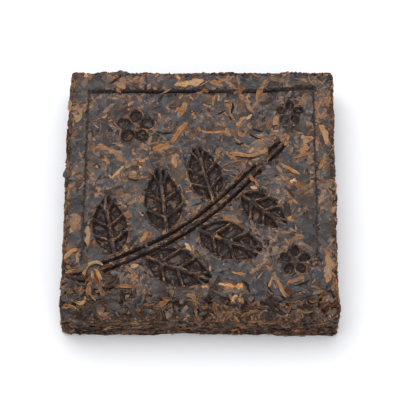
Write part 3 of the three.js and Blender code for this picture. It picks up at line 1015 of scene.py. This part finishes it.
# The grey-blue stops are partly the leaves' own colour and partly a painted sheen.
SLATE_STOPS = (
    (0.0, (28, 20, 17)),
    (0.3, (45, 38, 36)),
    (0.5, (54, 53, 59)),
    (0.68, (65, 66, 72)),
    (0.84, (88, 75, 65)),
    (1.0, (124, 102, 84)),
)
BROWN_STOPS = ((0.0, (38, 27, 21)), (0.35, (66, 52, 42)), (0.65, (101, 79, 62)), (1.0, (150, 114, 84)))
LAYERED_STOPS = ((0.0, (38, 24, 16)), (0.35, (64, 45, 34)), (0.65, (95, 71, 53)), (1.0, (150, 116, 84)))
GOLD_STOPS = ((0.0, (92, 65, 46)), (0.35, (131, 94, 66)), (0.65, (162, 119, 81)), (1.0, (198, 156, 111)))
TAN_STOPS = ((0.0, (96, 70, 52)), (0.35, (133, 102, 76)), (0.65, (159, 124, 90)), (1.0, (193, 156, 112)))
# How much of each of red, green and blue stays, from the bluest to the brownest places
TINTS = ((0.34, (0.85, 0.91, 1.0)), (0.5, (0.99, 0.93, 0.87)), (0.66, (1.0, 0.78, 0.56)))
GROUND_MIDDLE = 0.47
CORE_MIDDLE = 0.45
WEAR_FROM = 0.4
WEAR_STEEPNESS = 4.5
LEAF_BUMP = 0.05
LEAF_BUMP_STRENGTH = 0.7
CORE_BUMP = 0.15
CORE_FLAKE = 0.9


def linear(colour):
    """A seen colour from 0 to 255 as the light it sends back, by the curve of a display."""
    c = np.array(colour) / 255
    low = c / 12.92
    high = ((c + 0.055) / 1.055) ** 2.4
    return (*np.where(c <= 0.04045, low, high), 1.0)


def node(tree, kind, **settings):
    """A new node with its settings."""
    made = tree.nodes.new(kind if kind.startswith("Node") else "ShaderNode" + kind)
    for key, value in settings.items():
        setattr(made, key, value)
    return made


def feed(tree, socket, value):
    """Links a socket to another, or sets it to a number or a seen colour."""
    if isinstance(value, bpy.types.NodeSocket):
        tree.links.new(value, socket)
    else:
        socket.default_value = linear(value) if isinstance(value, tuple) else value


def maths(tree, operation, a, b):
    """A math node on two values or sockets."""
    made = node(tree, "Math", operation=operation)
    feed(tree, made.inputs[0], a)
    feed(tree, made.inputs[1], b)
    return made.outputs[0]


def shifted(tree, value, *sources):
    """A value moved by each source's distance from one half, times its amount."""
    for source, amount in sources:
        away = maths(tree, "MULTIPLY", maths(tree, "SUBTRACT", source, 0.5), amount)
        value = maths(tree, "ADD", value, away)
    return value


def mixed(tree, factor, a, b, blend="MIX"):
    """Two colours mixed: sockets, or seen colours."""
    made = node(tree, "Mix", data_type="RGBA", blend_type=blend)
    feed(tree, made.inputs["Factor"], factor)
    feed(tree, made.inputs[6], a)
    feed(tree, made.inputs[7], b)
    return made.outputs[2]


def ramp_node(tree, stops, value, seen=True):
    """A colour ramp through colours at the places given, as seen or as shares of light."""
    made = node(tree, "ValToRGB")
    ramp = made.color_ramp
    while len(ramp.elements) < len(stops):
        ramp.elements.new(0.5)
    for element, (place, colour) in zip(ramp.elements, stops):
        element.position = place
        element.color = linear(colour) if seen else (*colour, 1)
    feed(tree, made.inputs["Fac"], value)
    return made.outputs["Color"]


def noise_group(name, source, layers, stretched):
    """A group of noises, each about 0.5: its name, its stretch each way or its span in mm, and its
    detail."""
    tree = bpy.data.node_groups.new(name, "ShaderNodeTree")
    tree.interface.new_socket(source, in_out="INPUT", socket_type="NodeSocketVector")
    for layer, _, _ in layers:
        tree.interface.new_socket(layer, in_out="OUTPUT", socket_type="NodeSocketFloat")
    start, end = node(tree, "NodeGroupInput"), node(tree, "NodeGroupOutput")
    for layer, span, detail in layers:
        scaled = node(tree, "VectorMath", operation="MULTIPLY")
        scaled.inputs[1].default_value = span if stretched else (1 / (span * MM),) * 3
        made = node(tree, "TexNoise")
        made.inputs["Scale"].default_value = 1.0
        made.inputs["Detail"].default_value = detail
        feed(tree, scaled.inputs[0], start.outputs[source])
        feed(tree, made.inputs["Vector"], scaled.outputs[0])
        feed(tree, end.inputs[layer], made.outputs["Fac"])
    return tree


FIBRE = noise_group("Leaf fibre", "Grain", (
    ("Streak", (0.5, 4.0, 7.3), 3),
    ("Blotch", (0.8, 1.3, 3.1), 2),
), True)
PATCHES = noise_group("Brick patches", "Place", (
    ("Patch", 7.0, 2),
    ("Tint", 4.0, 3),
    ("Mottle", 1.9, 2),
    ("Speck", 0.5, 2),
), False)


def noises(tree, group, place):
    """The outputs of a group of noises at a place, in the order of its layers."""
    made = node(tree, "Group", node_tree=group)
    feed(tree, made.inputs[0], place)
    return list(made.outputs)


def attribute(tree, name, output="Fac"):
    """A value that each point of the mesh carries."""
    return node(tree, "Attribute", attribute_name=name).outputs[output]


def new_material(name):
    """A new material, its nodes and its shader."""
    material = bpy.data.materials.new(name)
    material.use_nodes = True
    tree = material.node_tree
    return material, tree, tree.nodes["Principled BSDF"]


def bumped(tree, shader, height, depth, strength=1.0):
    """Gives a shader bumps from a height, with a depth in mm."""
    bump = node(tree, "Bump")
    bump.inputs["Strength"].default_value = strength
    bump.inputs["Distance"].default_value = depth * MM
    feed(tree, bump.inputs["Height"], height)
    feed(tree, shader.inputs["Normal"], bump.outputs["Normal"])


def leaf_material(name, stops, worn, roughness=0.6, sheen=0.2):
    """A dried leaf. Its own tone and its fibres pick a colour from the stops. Where it is worn, by the
    share given, the mottled ground colour shows instead. Both are tinted in patches. Painted shade, which
    the points carry, takes the colour almost to black and makes it rough at the feet, in sunk places and
    where the leaf lies deep."""
    material, tree, shader = new_material(name)
    tone, dark = attribute(tree, "tone"), attribute(tree, "dark")
    streak, blotch = noises(tree, FIBRE, attribute(tree, "grain", "Vector"))
    patch, tint, mottle, speck = noises(tree, PATCHES, node(tree, "TexCoord").outputs["Object"])

    own = shifted(tree, tone, (streak, 0.9), (blotch, 0.7), (speck, 0.4))
    ground = shifted(tree, GROUND_MIDDLE, (tone, 0.4), (streak, 0.8), (blotch, 0.8), (patch, 1.4),
                     (mottle, 1.1), (speck, 0.6))
    wear = shifted(tree, worn, (blotch, 1.0), (speck, 0.4), (mottle, 0.9))
    wear = maths(tree, "MULTIPLY", maths(tree, "SUBTRACT", wear, WEAR_FROM), WEAR_STEEPNESS)
    wear = maths(tree, "MINIMUM", maths(tree, "MAXIMUM", wear, 0.0), 1.0)
    colour = mixed(tree, wear, ramp_node(tree, stops, own), ramp_node(tree, GROUND_STOPS, ground))
    colour = mixed(tree, 1.0, colour, ramp_node(tree, TINTS, tint, seen=False), "MULTIPLY")
    # Painted shade: the points' darkness takes the colour towards almost black.
    feed(tree, shader.inputs["Base Color"], mixed(tree, dark, colour, PAINTED_SHADE_COLOUR))
    rough = maths(tree, "MAXIMUM", shifted(tree, roughness, (blotch, 0.3)), dark)
    feed(tree, shader.inputs["Roughness"], rough)
    shader.inputs["Specular IOR Level"].default_value = sheen
    height = maths(tree, "ADD", streak, maths(tree, "MULTIPLY", speck, 0.7))
    bumped(tree, shader, height, LEAF_BUMP, LEAF_BUMP_STRENGTH)
    return material


def core_material():
    """The core seen between the leaves: dark broken leaf, taken almost to black by the painted shade it
    carries, most where it is sunk.
    """
    material, tree, shader = new_material("packed leaf")
    place = node(tree, "TexCoord").outputs["Object"]
    _, _, mottle, speck = noises(tree, PATCHES, place)
    flakes = node(tree, "TexVoronoi")
    flakes.inputs["Scale"].default_value = 1 / (CORE_FLAKE * MM)
    feed(tree, flakes.inputs["Vector"], place)
    shade = shifted(tree, CORE_MIDDLE, (flakes.outputs["Color"], 0.5), (speck, 1.0), (mottle, 0.6))
    # Painted shade: the points' darkness takes the colour towards almost black.
    colour = mixed(tree, attribute(tree, "dark"), ramp_node(tree, GROUND_STOPS, shade), PAINTED_SHADE_COLOUR)
    feed(tree, shader.inputs["Base Color"], colour)
    shader.inputs["Roughness"].default_value = 0.75
    shader.inputs["Specular IOR Level"].default_value = 0.15
    bumped(tree, shader, speck, CORE_BUMP)
    return material


# The pieces

# Flakes that stand out by themselves: width, tone, and places on their middle line
GOLD_FLAKES = (
    (1.7, 0.65, (11, 16), (14.9, 15.2), (19.1, 14.4), (22.5, 15.8), (25.5, 17.5)),
    (2.0, 0.6, (-5.0, 28.7), (-6.9, 26.5), (-9.4, 22.9), (-10.9, 19.8)),
    (2.6, 0.55, (-11.8, 19.4), (-15.0, 18.2), (-18.2, 16.9)),
    (1.3, 0.7, (29.6, 11.6), (33.3, 9.1), (37.4, 6.6)),
    (1.1, 0.5, (34.2, 13.7), (38, 14.6), (42.1, 16.2)),
    (1.3, 0.6, (5, 45.5), (8, 47), (11, 49)),
    (1.2, 0.6, (44.6, 8.7), (45.8, 11.5), (47, 15)),
    (1.3, 0.65, (28.6, -35.6), (29.9, -39.2), (31.8, -42.4)),
    (1.1, 0.5, (17.4, 30.4), (15.6, 28.0), (13.9, 26.1)),
    (1.0, 0.55, (13.9, 26.1), (15.6, 22.9), (17.7, 25.7)),
    (1.2, 0.6, (48.4, 4.4), (50.2, 3.2), (50.4, 1.4), (49, 0.4)),
    (1.6, 0.8, (-50.2, 38.4), (-50.6, 36.2), (-50.3, 33.6)),
)
ORANGE_FLAKES = (
    (0.8, 0.5, (-42.4, 40.3), (-41.5, 38.9), (-40.6, 37.8)),
    (1.3, 0.6, (-27.8, 35.8), (-27.0, 37.2), (-25.7, 37.8)),
    (1.0, 0.6, (-16.4, 32.7), (-15.8, 31.7), (-15.3, 30.5)),
    (1.2, 0.55, (-8.5, 35.4), (-9.2, 34.2), (-9.9, 33.1)),
    (0.8, 0.5, (-6.9, 37.3), (-6.8, 36.0), (-6.8, 34.2)),
    (1.3, 0.5, (-41.0, 22.0), (-40.0, 21.1)),
    (1.7, 0.5, (-25.9, 16.3), (-24.5, 15.0)),
    (2.0, 0.55, (-10.0, 14.2), (-9.6, 12.1), (-9.4, 9.5)),
    (1.3, 0.5, (-41.0, 16.5), (-39.4, 18.0), (-37.5, 18.4)),
    (2.2, 0.4, (-36.4, 14.8), (-35.4, 12.9), (-34.7, 11.1)),
    (1.3, 0.75, (-28.9, 10.3), (-31.1, 7.9), (-33.3, 4.9)),
    (1.2, 0.6, (-39.3, 10.8), (-38.7, 9.5)),
    (1.5, 0.4, (-41.5, 7.0), (-40.7, 4.5)),
    (1.2, 0.8, (-23.4, 12.2), (-21.0, 12.4)),
    (1.0, 0.55, (-34.6, 39.3), (-31.8, 39.2)),
    (1.8, 0.3, (-24.7, 40.4), (-23.7, 39.0), (-23.1, 37.6)),
    (1.2, 0.45, (-13.3, 35.8), (-12.1, 34.2)),
    (1.2, 0.5, (-8.6, 39.3), (-6.9, 40.8)),
    (1.6, 0.35, (-4.9, 40.9), (-3.9, 39.9), (-2.7, 38.4)),
    (1.5, 0.45, (-2.9, 33.1), (-2.7, 31.8), (-2.3, 30.3)),
    (1.8, 0.8, (-45.6, 49.6), (-44.2, 48.6)),
    (1.0, 0.45, (-46.0, 16.1), (-45.0, 13.7)),
    (1.2, 0.5, (-0.3, 25.4), (3.5, 24.5), (7.3, 24.8), (10.6, 24.1)),
    (1.8, 0.4, (5.8, 40.8), (5.1, 38.6), (4.8, 36.0)),
    (1.0, 0.6, (7.0, 41.0), (6.4, 37.8)),
    (1.3, 0.6, (8.8, 38.2), (11.0, 38.3)),
    (1.6, 0.5, (17.0, 31.4), (15.3, 29.5), (13.8, 27.1)),
    (2.0, 0.4, (17.6, 27.9), (19.1, 25.8)),
    (1.3, 0.5, (21.2, 23.5), (24.0, 23.1)),
    (1.6, 0.5, (26.6, 25.9), (27.8, 24.5)),
    (1.5, 0.5, (33.6, 23.0), (32.9, 20.9), (32.0, 18.8)),
    (1.2, 0.3, (34.8, 18.4), (34.4, 16.7), (33.8, 14.8)),
    (0.9, 0.5, (39.0, 21.6), (39.2, 19.6), (39.5, 17.1)),
    (1.2, 0.5, (38.8, 21.7), (41.1, 22.2), (43.0, 21.8)),
    (1.3, 0.35, (47.9, 33.8), (46.7, 32.0), (45.5, 29.9)),
    (0.8, 0.35, (40.0, 13.3), (41.7, 12.3), (43.0, 11.9)),
    (0.8, 0.3, (8.1, 10.2), (10.0, 11.2), (11.9, 12.0), (16.6, 12.7)),
    (1.8, 0.45, (38.8, 47.2), (40.9, 46.2)),
    (2.2, 0.4, (3.2, 46.3), (5.7, 45.3), (8.2, 44.2)),
    (1.5, 0.45, (9.2, 46.7), (12.1, 44.4)),
    (1.9, 0.4, (18.6, 6.4), (20.4, 4.1), (22.0, 1.8)),
    (1.0, 0.45, (30.1, 6.6), (31.8, 4.1)),
    (1.8, 0.2, (35.6, 2.9), (38.6, 1.2)),
    (1.4, 0.35, (40.7, 1.2), (42.2, 4.5)),
    (1.3, 0.6, (26.8, -34.5), (25.7, -36.5), (24.8, -38.8)),
    (2.2, 0.35, (38.0, -34.6), (35.2, -35.9), (31.9, -36.9)),
    (1.3, 0.8, (6.6, -37.3), (10.4, -37.7), (13.3, -38.4)),
    (2.6, 0.7, (13.3, -38.2), (15.9, -38.1)),
    (1.6, 0.85, (13.7, -41.5), (12.6, -43.1), (11.5, -44.8)),
    (0.9, 0.55, (11.7, -32.4), (14.1, -33.2), (17.0, -33.2)),
    (1.6, 0.4, (24.3, -30.1), (26.6, -31.8)),
    (2.0, 0.75, (46.4, -48.6), (48.3, -47.5)),
    (1.4, 0.5, (45.6, -40.1), (43.9, -42.1)),
    (1.4, 0.55, (38.5, -39.8), (35.6, -41.9)),
    (2.2, 0.2, (40.6, -37.6), (44.2, -39.0)),
    (1.2, 0.6, (22.8, -45.8), (24.6, -47.7)),
    (2.2, 0.2, (18.0, -49.5), (19.4, -47.2)),
    (1.9, 0.6, (34.6, -46.9), (37.7, -48.3)),
    (1.4, 0.5, (3.7, -47.9), (5.0, -48.8), (5.6, -50.0)),
    (2.0, 0.45, (21.5, 37.9), (22.3, 41.2), (23.9, 44.4), (25.6, 47.3)),
    (1.6, 0.9, (-36.9, -48.6), (-35.1, -48.8)),
    (0.8, 0.45, (-15.8, 41.2), (-13.6, 42.4), (-11.2, 43.6)),
    (1.4, 0.3, (-2.5, 41.2), (0.5, 42.2), (3.0, 42.6)),
    (1.2, 0.4, (-32.8, 43.6), (-31.0, 41.8)),
    (1.6, 0.25, (12.4, 41.4), (15.0, 42.6), (17.0, 43.6)),
    (1.2, 0.85, (-39.0, -49.6), (-37.4, -50.0)),
    (1.4, 0.4, (-34.0, -44.0), (-32.5, -44.9)),
    (1.8, 0.6, (-48.3, -16.1), (-46.6, -17.1)),
    (1.8, 0.6, (-49.6, -43.6), (-48.4, -42.7)),
    (2.2, 0.4, (-25.1, -36.4), (-23.7, -35.0), (-22.4, -34.0)),
    (1.4, 0.35, (19.6, 34.4), (21.0, 36.8), (22.1, 38.4)),
    (1.2, 0.4, (11.8, 35.6), (11.4, 32.4), (13.2, 29.6)),
    (1.2, 0.5, (39.1, 20.9), (42.3, 21.1)),
)
CURLS = (
    (1.5, 0.85, (-41.8, -34.6), (-41.4, -31.2), (-38.8, -29.2), (-35.4, -30.2)),
    (1.4, 0.9, (-38.6, -31.6), (-37.2, -33.2), (-36, -36.2), (-36.4, -39)),
    (1.2, 0.8, (-40.9, -38.6), (-39.3, -36.8), (-38.9, -34.4), (-39.5, -32.4)),
    (1.4, 0.95, (-45.2, -41.8), (-44.9, -44.4), (-42.3, -44.8), (-41.5, -42)),
    (1.4, 0.8, (-49.6, -28.4), (-48.2, -26.2), (-46.2, -24.6), (-44.6, -24.2)),
    (1.2, 0.75, (-49.4, -33.3), (-47.4, -32.7), (-45.6, -31.7)),
    (1.4, 0.7, (-48.4, -37.4), (-47, -39.6), (-44.4, -39.8), (-42.8, -38)),
    (1.6, 0.6, (-50, -46.2), (-46.6, -46.4), (-43.6, -48)),
    (1.3, 0.6, (-31, -38.8), (-27, -38.2), (-23, -39.2)),
)
TAN_FLAKES = (
    (4.8, 0.75, (-10.4, 44.9), (-6.5, 46.2), (-2.9, 46.6), (0.9, 47.4)),
    (5.0, 0.5, (-47.6, 28.6), (-45.8, 31.0), (-44.8, 34.6)),
    (3.8, 0.6, (44.9, 27.2), (46.5, 23.3), (47.7, 19.2)),
    (4.2, 0.45, (47.2, -25.3), (46.6, -31.2), (46.1, -37.0)),
    (2.2, 0.5, (-41.4, -14.4), (-41.6, -18.1), (-41.4, -22.6)),
    (3.8, 0.3, (-47.4, -9.6), (-46.8, -12.7), (-47.2, -16.4)),
    (2.6, 0.35, (-39.4, 19.4), (-36.9, 18.6), (-33.8, 17.2)),
    (2.4, 0.25, (-33.2, 16), (-31.1, 14.6), (-29.4, 12)),
    (2.2, 0.3, (18, 37.4), (18.8, 35.5), (20.2, 33)),
    (2.6, 0.3, (11, -43), (13.4, -43.6), (16, -42.8)),
)
DARK_FLAKES = (
    (2.4, 0.45, (-35.5, 49.8), (-32.5, 50.2), (-30.5, 50.2), (-28.5, 49.6)),
    (2.4, 0.35, (-50, 9.5), (-50.5, 7), (-50.2, 4.5)),
)
# Painted shadows between leaves: thin strips painted almost black, which show as thin dark lines
PAINTED_SHADOW_LINES = (
    (1.1, 0.0, (-16.8, 25.0), (-14.2, 24.2), (-10.4, 24.6)),
    (1.0, 0.0, (-31.3, 50.1), (-32.0, 48.1), (-33.9, 46.5), (-35.7, 45.6)),
    (1.0, 0.0, (12.0, 37.6), (12.2, 34.8), (11.4, 32.0), (12.0, 29.6)),
    (0.9, 0.0, (19.7, 25.7), (21.8, 25.0), (24.1, 24.7)),
    (0.9, 0.0, (18.4, 24.2), (20.9, 22.3), (23.2, 21.7)),
    (1.0, 0.0, (13.2, 20.5), (14.6, 19.2), (16.5, 20.2)),
    (0.8, 0.0, (5.9, 32.2), (7.9, 33.0), (9.4, 34.3)),
    (1.1, 0.0, (34.1, -38.1), (37.3, -37.0), (40.1, -35.8)),
    (1.2, 0.0, (24.7, -36.6), (25.5, -38.8), (27.0, -40.7)),
    (1.1, 0.0, (15.4, -35.9), (17.4, -37.7), (18.2, -40.6)),
    (0.9, 0.0, (-15.7, -47.1), (-12.7, -45.7), (-9.3, -46.0)),
    (1.0, 0.0, (-7.6, -47.1), (-6.0, -45.6), (-4.0, -46.4)),
    (1.2, 0.0, (-48.9, -30.6), (-46.8, -31.7), (-45.2, -33.6)),
    (1.2, 0.0, (-42.4, -40.7), (-40.0, -41.8), (-37.9, -43.0)),
    (0.8, 0.0, (-27.2, 6.9), (-26.8, 5.2), (-25.1, 4.3), (-23.0, 4.8)),
    (0.9, 0.0, (11.0, 15.1), (14.9, 14.1), (19.1, 13.4), (22.6, 14.8)),
)

# How leaves lie over the top edge: small ones all round it, and thick ones that hide the front edge.
# A thickness has its limits and, for more thin ones than usual, a power.
ALL_ROUND = dict(
    start=0, run=ROUND, inward=(-2.0, 1.2), width=(0.5, 2.0), slender=0.6, thick=(0.2, 0.9, 2.0),
    section=DOMED, rows=7, curl=0.5, roll=0.3, turn=0.6,
)
ALONG_FRONT = dict(
    start=3 * (STRAIGHT + ARC), run=STRAIGHT, inward=(-4.5, 3.0), width=(0.8, 2.6), slender=0.65,
    thick=(0.3, 1.1), section=ROLLED, rows=8, curl=0.8, roll=0.4, turn=0.8,
)

SLATE = leaf_material("pressed dark leaf", SLATE_STOPS, 0.54, roughness=0.5, sheen=0.3)
BROWN = leaf_material("pressed brown leaf", BROWN_STOPS, 0.42)
GOLD = leaf_material("golden tip leaf", GOLD_STOPS, 0.34)
TAN = leaf_material("pale tan leaf", TAN_STOPS, 0.26)
TWIG = leaf_material("golden twig", GOLD_STOPS, 0.16)
LAYERED = leaf_material("layered side leaf", LAYERED_STOPS, 0.22)

pieces = [
    core_piece(core_material()),

    # In the face: name, seed, count, lengths, widths, tones, lifts and material
    face_leaves("face_dark_leaves", 1, 2400, (3, 11), (1.4, 4.4), (0.5, 0.22), (0.0, 0.12), SLATE),
    face_leaves("face_brown_leaves", 2, 2800, (1.8, 9), (0.7, 2.8), (0.5, 0.26), (0.02, 0.14), BROWN,
                lobes=0.18, gathered=True),
    face_leaves("face_gold_flecks", 3, 740, (0.8, 5.5), (0.5, 2.0), (0.38, 0.26), (0.06, 0.15), GOLD,
                lobes=0.22, gathered=True),
    face_leaves("face_tan_flecks", 19, 300, (0.8, 5), (0.5, 2.4), (0.28, 0.26), (0.06, 0.15), TAN,
                lobes=0.24, gathered=True),
    face_leaves("face_crumbs", 4, 1300, (0.4, 1.8), (0.3, 1.0), (0.5, 0.24), (0.05, 0.15), BROWN, rows=4),

    # Along the relief: name, seed, spacing, lengths, widths, thickness, tones and material
    # Their tones, lighter than the face's, are partly the tan of the leaves and partly a painted highlight
    # along the ridges.
    rim_leaves("rim_leaves", 5, 1.2, (1.5, 5), (0.35, 0.9), 0.25, (0.6, 0.28), BROWN),

    # In the loose band: name, seed, count, lengths, widths, thicknesses, tones, material and curl
    loose_leaves("loose_dark_leaves", 6, 640, (3, 9), (1.4, 3.6), (0.25, 0.7), (0.62, 0.3), SLATE, 0.6,
                 section=DOMED),
    loose_leaves("loose_brown_leaves", 7, 500, (2.5, 9), (0.8, 2.2), (0.4, 1.0), (0.68, 0.32), LAYERED, 1.0),
    loose_leaves("loose_gold_leaves", 8, 190, (1.2, 5.5), (0.5, 1.5), (0.3, 0.7), (0.42, 0.28), GOLD, 1.1,
                 high=0.9),

    # By themselves: name, seed, flakes, thickness and material
    named_flakes("golden_stems", 9, GOLD_FLAKES, 0.35, TWIG),
    named_flakes("orange_flakes", 22, ORANGE_FLAKES, 0.16, TWIG, section=FLAT, lift=0.12, lobes=0.22),
    named_flakes("golden_curls", 10, CURLS, 0.7, TWIG, lift=0.3),
    named_flakes("tan_flakes", 11, TAN_FLAKES, 0.14, TAN, section=FLAT, lift=0.12, lobes=0.25),
    named_flakes("edge_lumps", 21, DARK_FLAKES, 0.6, SLATE, section=FLAT),
    # Thin strips painted almost black: painted shadow lines between the leaves
    named_flakes("painted_shadow_lines", 25, PAINTED_SHADOW_LINES, 0.1, SLATE, section=FLAT, lift=0.17, lobes=0.25, shade=0.97),

    # In the sides: name, seed, count, lengths, heights, tones, lifts and material
    side_leaves("side_brown_leaves", 12, 4200, (0.9, 5.8), (0.45, 2.0), (0.5, 0.28), (-0.6, 0.05), LAYERED,
                rows=5),
    side_leaves("side_slate_leaves", 13, 420, (1.5, 6), (0.6, 2.2), (0.4, 0.2), (-0.5, 0.05), SLATE),
    side_leaves("side_gold_leaves", 14, 420, (0.8, 4), (0.4, 1.1), (0.3, 0.26), (-0.3, 0.1), GOLD),

    # Over the top edge: name, seed, count, lengths, tones, material and how they lie
    edge_leaves("edge_leaves", 15, 1300, (1.0, 5), (0.5, 0.26), LAYERED, **ALL_ROUND),
    edge_leaves("edge_gold_leaves", 20, 160, (0.8, 4), (0.3, 0.24), GOLD, **ALL_ROUND),
    edge_leaves("front_edge_leaves", 23, 290, (1.5, 6.5), (0.68, 0.32), LAYERED, **ALONG_FRONT),
    edge_leaves("front_edge_dark_leaves", 24, 220, (2, 6), (0.62, 0.3), SLATE, **ALONG_FRONT),

    # Underneath: name, seed, count, lengths, widths, tones and material
    under_leaves("under_dark_leaves", 16, 1900, (3, 11), (1.4, 4.0), (0.5, 0.2), SLATE),
    under_leaves("under_brown_leaves", 17, 900, (1.5, 7), (0.7, 2.6), (0.5, 0.22), BROWN),
    under_leaves("under_gold_flecks", 18, 300, (1, 5), (0.5, 2.0), (0.4, 0.22), GOLD),
]
for piece in pieces:
    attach(piece, "root")
    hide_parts("tea_brick")


# The stage

FLOOR_HALF = 2000.0
FLOOR_LEVEL = -0.05
# Each light: its name, its place and size in metres, its power in watts and its colour
LIGHTS = (
    ("window", (-0.2, 0.4, 1.1), 1.2, 11, (0.98, 0.99, 1.0)),
    ("front fill", (0.3, -0.9, 0.6), 0.6, 2.0, (1.0, 0.98, 0.96)),
)
ROOM_COLOUR = (0.97, 0.98, 1.0, 1)
ROOM_STRENGTH = 0.72


def floor_plane():
    """A wide pale floor just under the brick."""
    material, _, shader = new_material("pale floor")
    shader.inputs["Base Color"].default_value = (0.86, 0.86, 0.88, 1)
    shader.inputs["Roughness"].default_value = 0.8
    corners = ((-1, -1), (1, -1), (1, 1), (-1, 1))
    points = np.array([(x * FLOOR_HALF, y * FLOOR_HALF, FLOOR_LEVEL) for x, y in corners])
    floor = mesh_piece("floor", points, [np.array([[0, 1, 2, 3]])], {}, False, material)


def area_light(name, place, size, power, colour):
    """A square soft light aimed at the brick."""
    data = bpy.data.lights.new(name, "AREA")
    data.shape = "SQUARE"
    data.size = size
    data.energy = power
    data.color = colour
    light = bpy.data.objects.new(name, data)
    light.location = place
    light.rotation_euler = (-Vector(place)).to_track_quat("-Z", "Y").to_euler()
    bpy.context.scene.collection.objects.link(light)


def studio():
    """A big soft light behind and above the brick, a weak one in front, and light all round."""
    for light in LIGHTS:
        area_light(*light)
    world = bpy.data.worlds.new("soft room")
    world.use_nodes = True
    room = world.node_tree.nodes["Background"]
    room.inputs["Color"].default_value = ROOM_COLOUR
    room.inputs["Strength"].default_value = ROOM_STRENGTH
    bpy.context.scene.world = world


def camera():
    """The camera at the photograph's angle: it looks at the middle of the underside, a little rolled."""
    el, az, roll = radians(ELEVATION), radians(AZIMUTH), radians(ROLL)
    back = Vector((sin(az) * cos(el), -cos(az) * cos(el), sin(el)))
    right = (-back).cross(Vector((0, 0, 1))).normalized()
    up = right.cross(-back)
    across = cos(roll) * right + sin(roll) * up
    upward = -sin(roll) * right + cos(roll) * up
    data = bpy.data.cameras.new("camera")
    data.sensor_width = SENSOR
    data.lens = LENS
    data.shift_x, data.shift_y = SHIFT
    made = bpy.data.objects.new("camera", data)
    turned = Matrix((across, upward, back)).transposed().to_4x4()
    made.matrix_world = Matrix.Translation(back * DISTANCE) @ turned
    bpy.context.scene.collection.objects.link(made)
    bpy.context.scene.camera = made


floor_plane()
studio()
camera()
bpy.context.scene.view_settings.view_transform = "Standard"
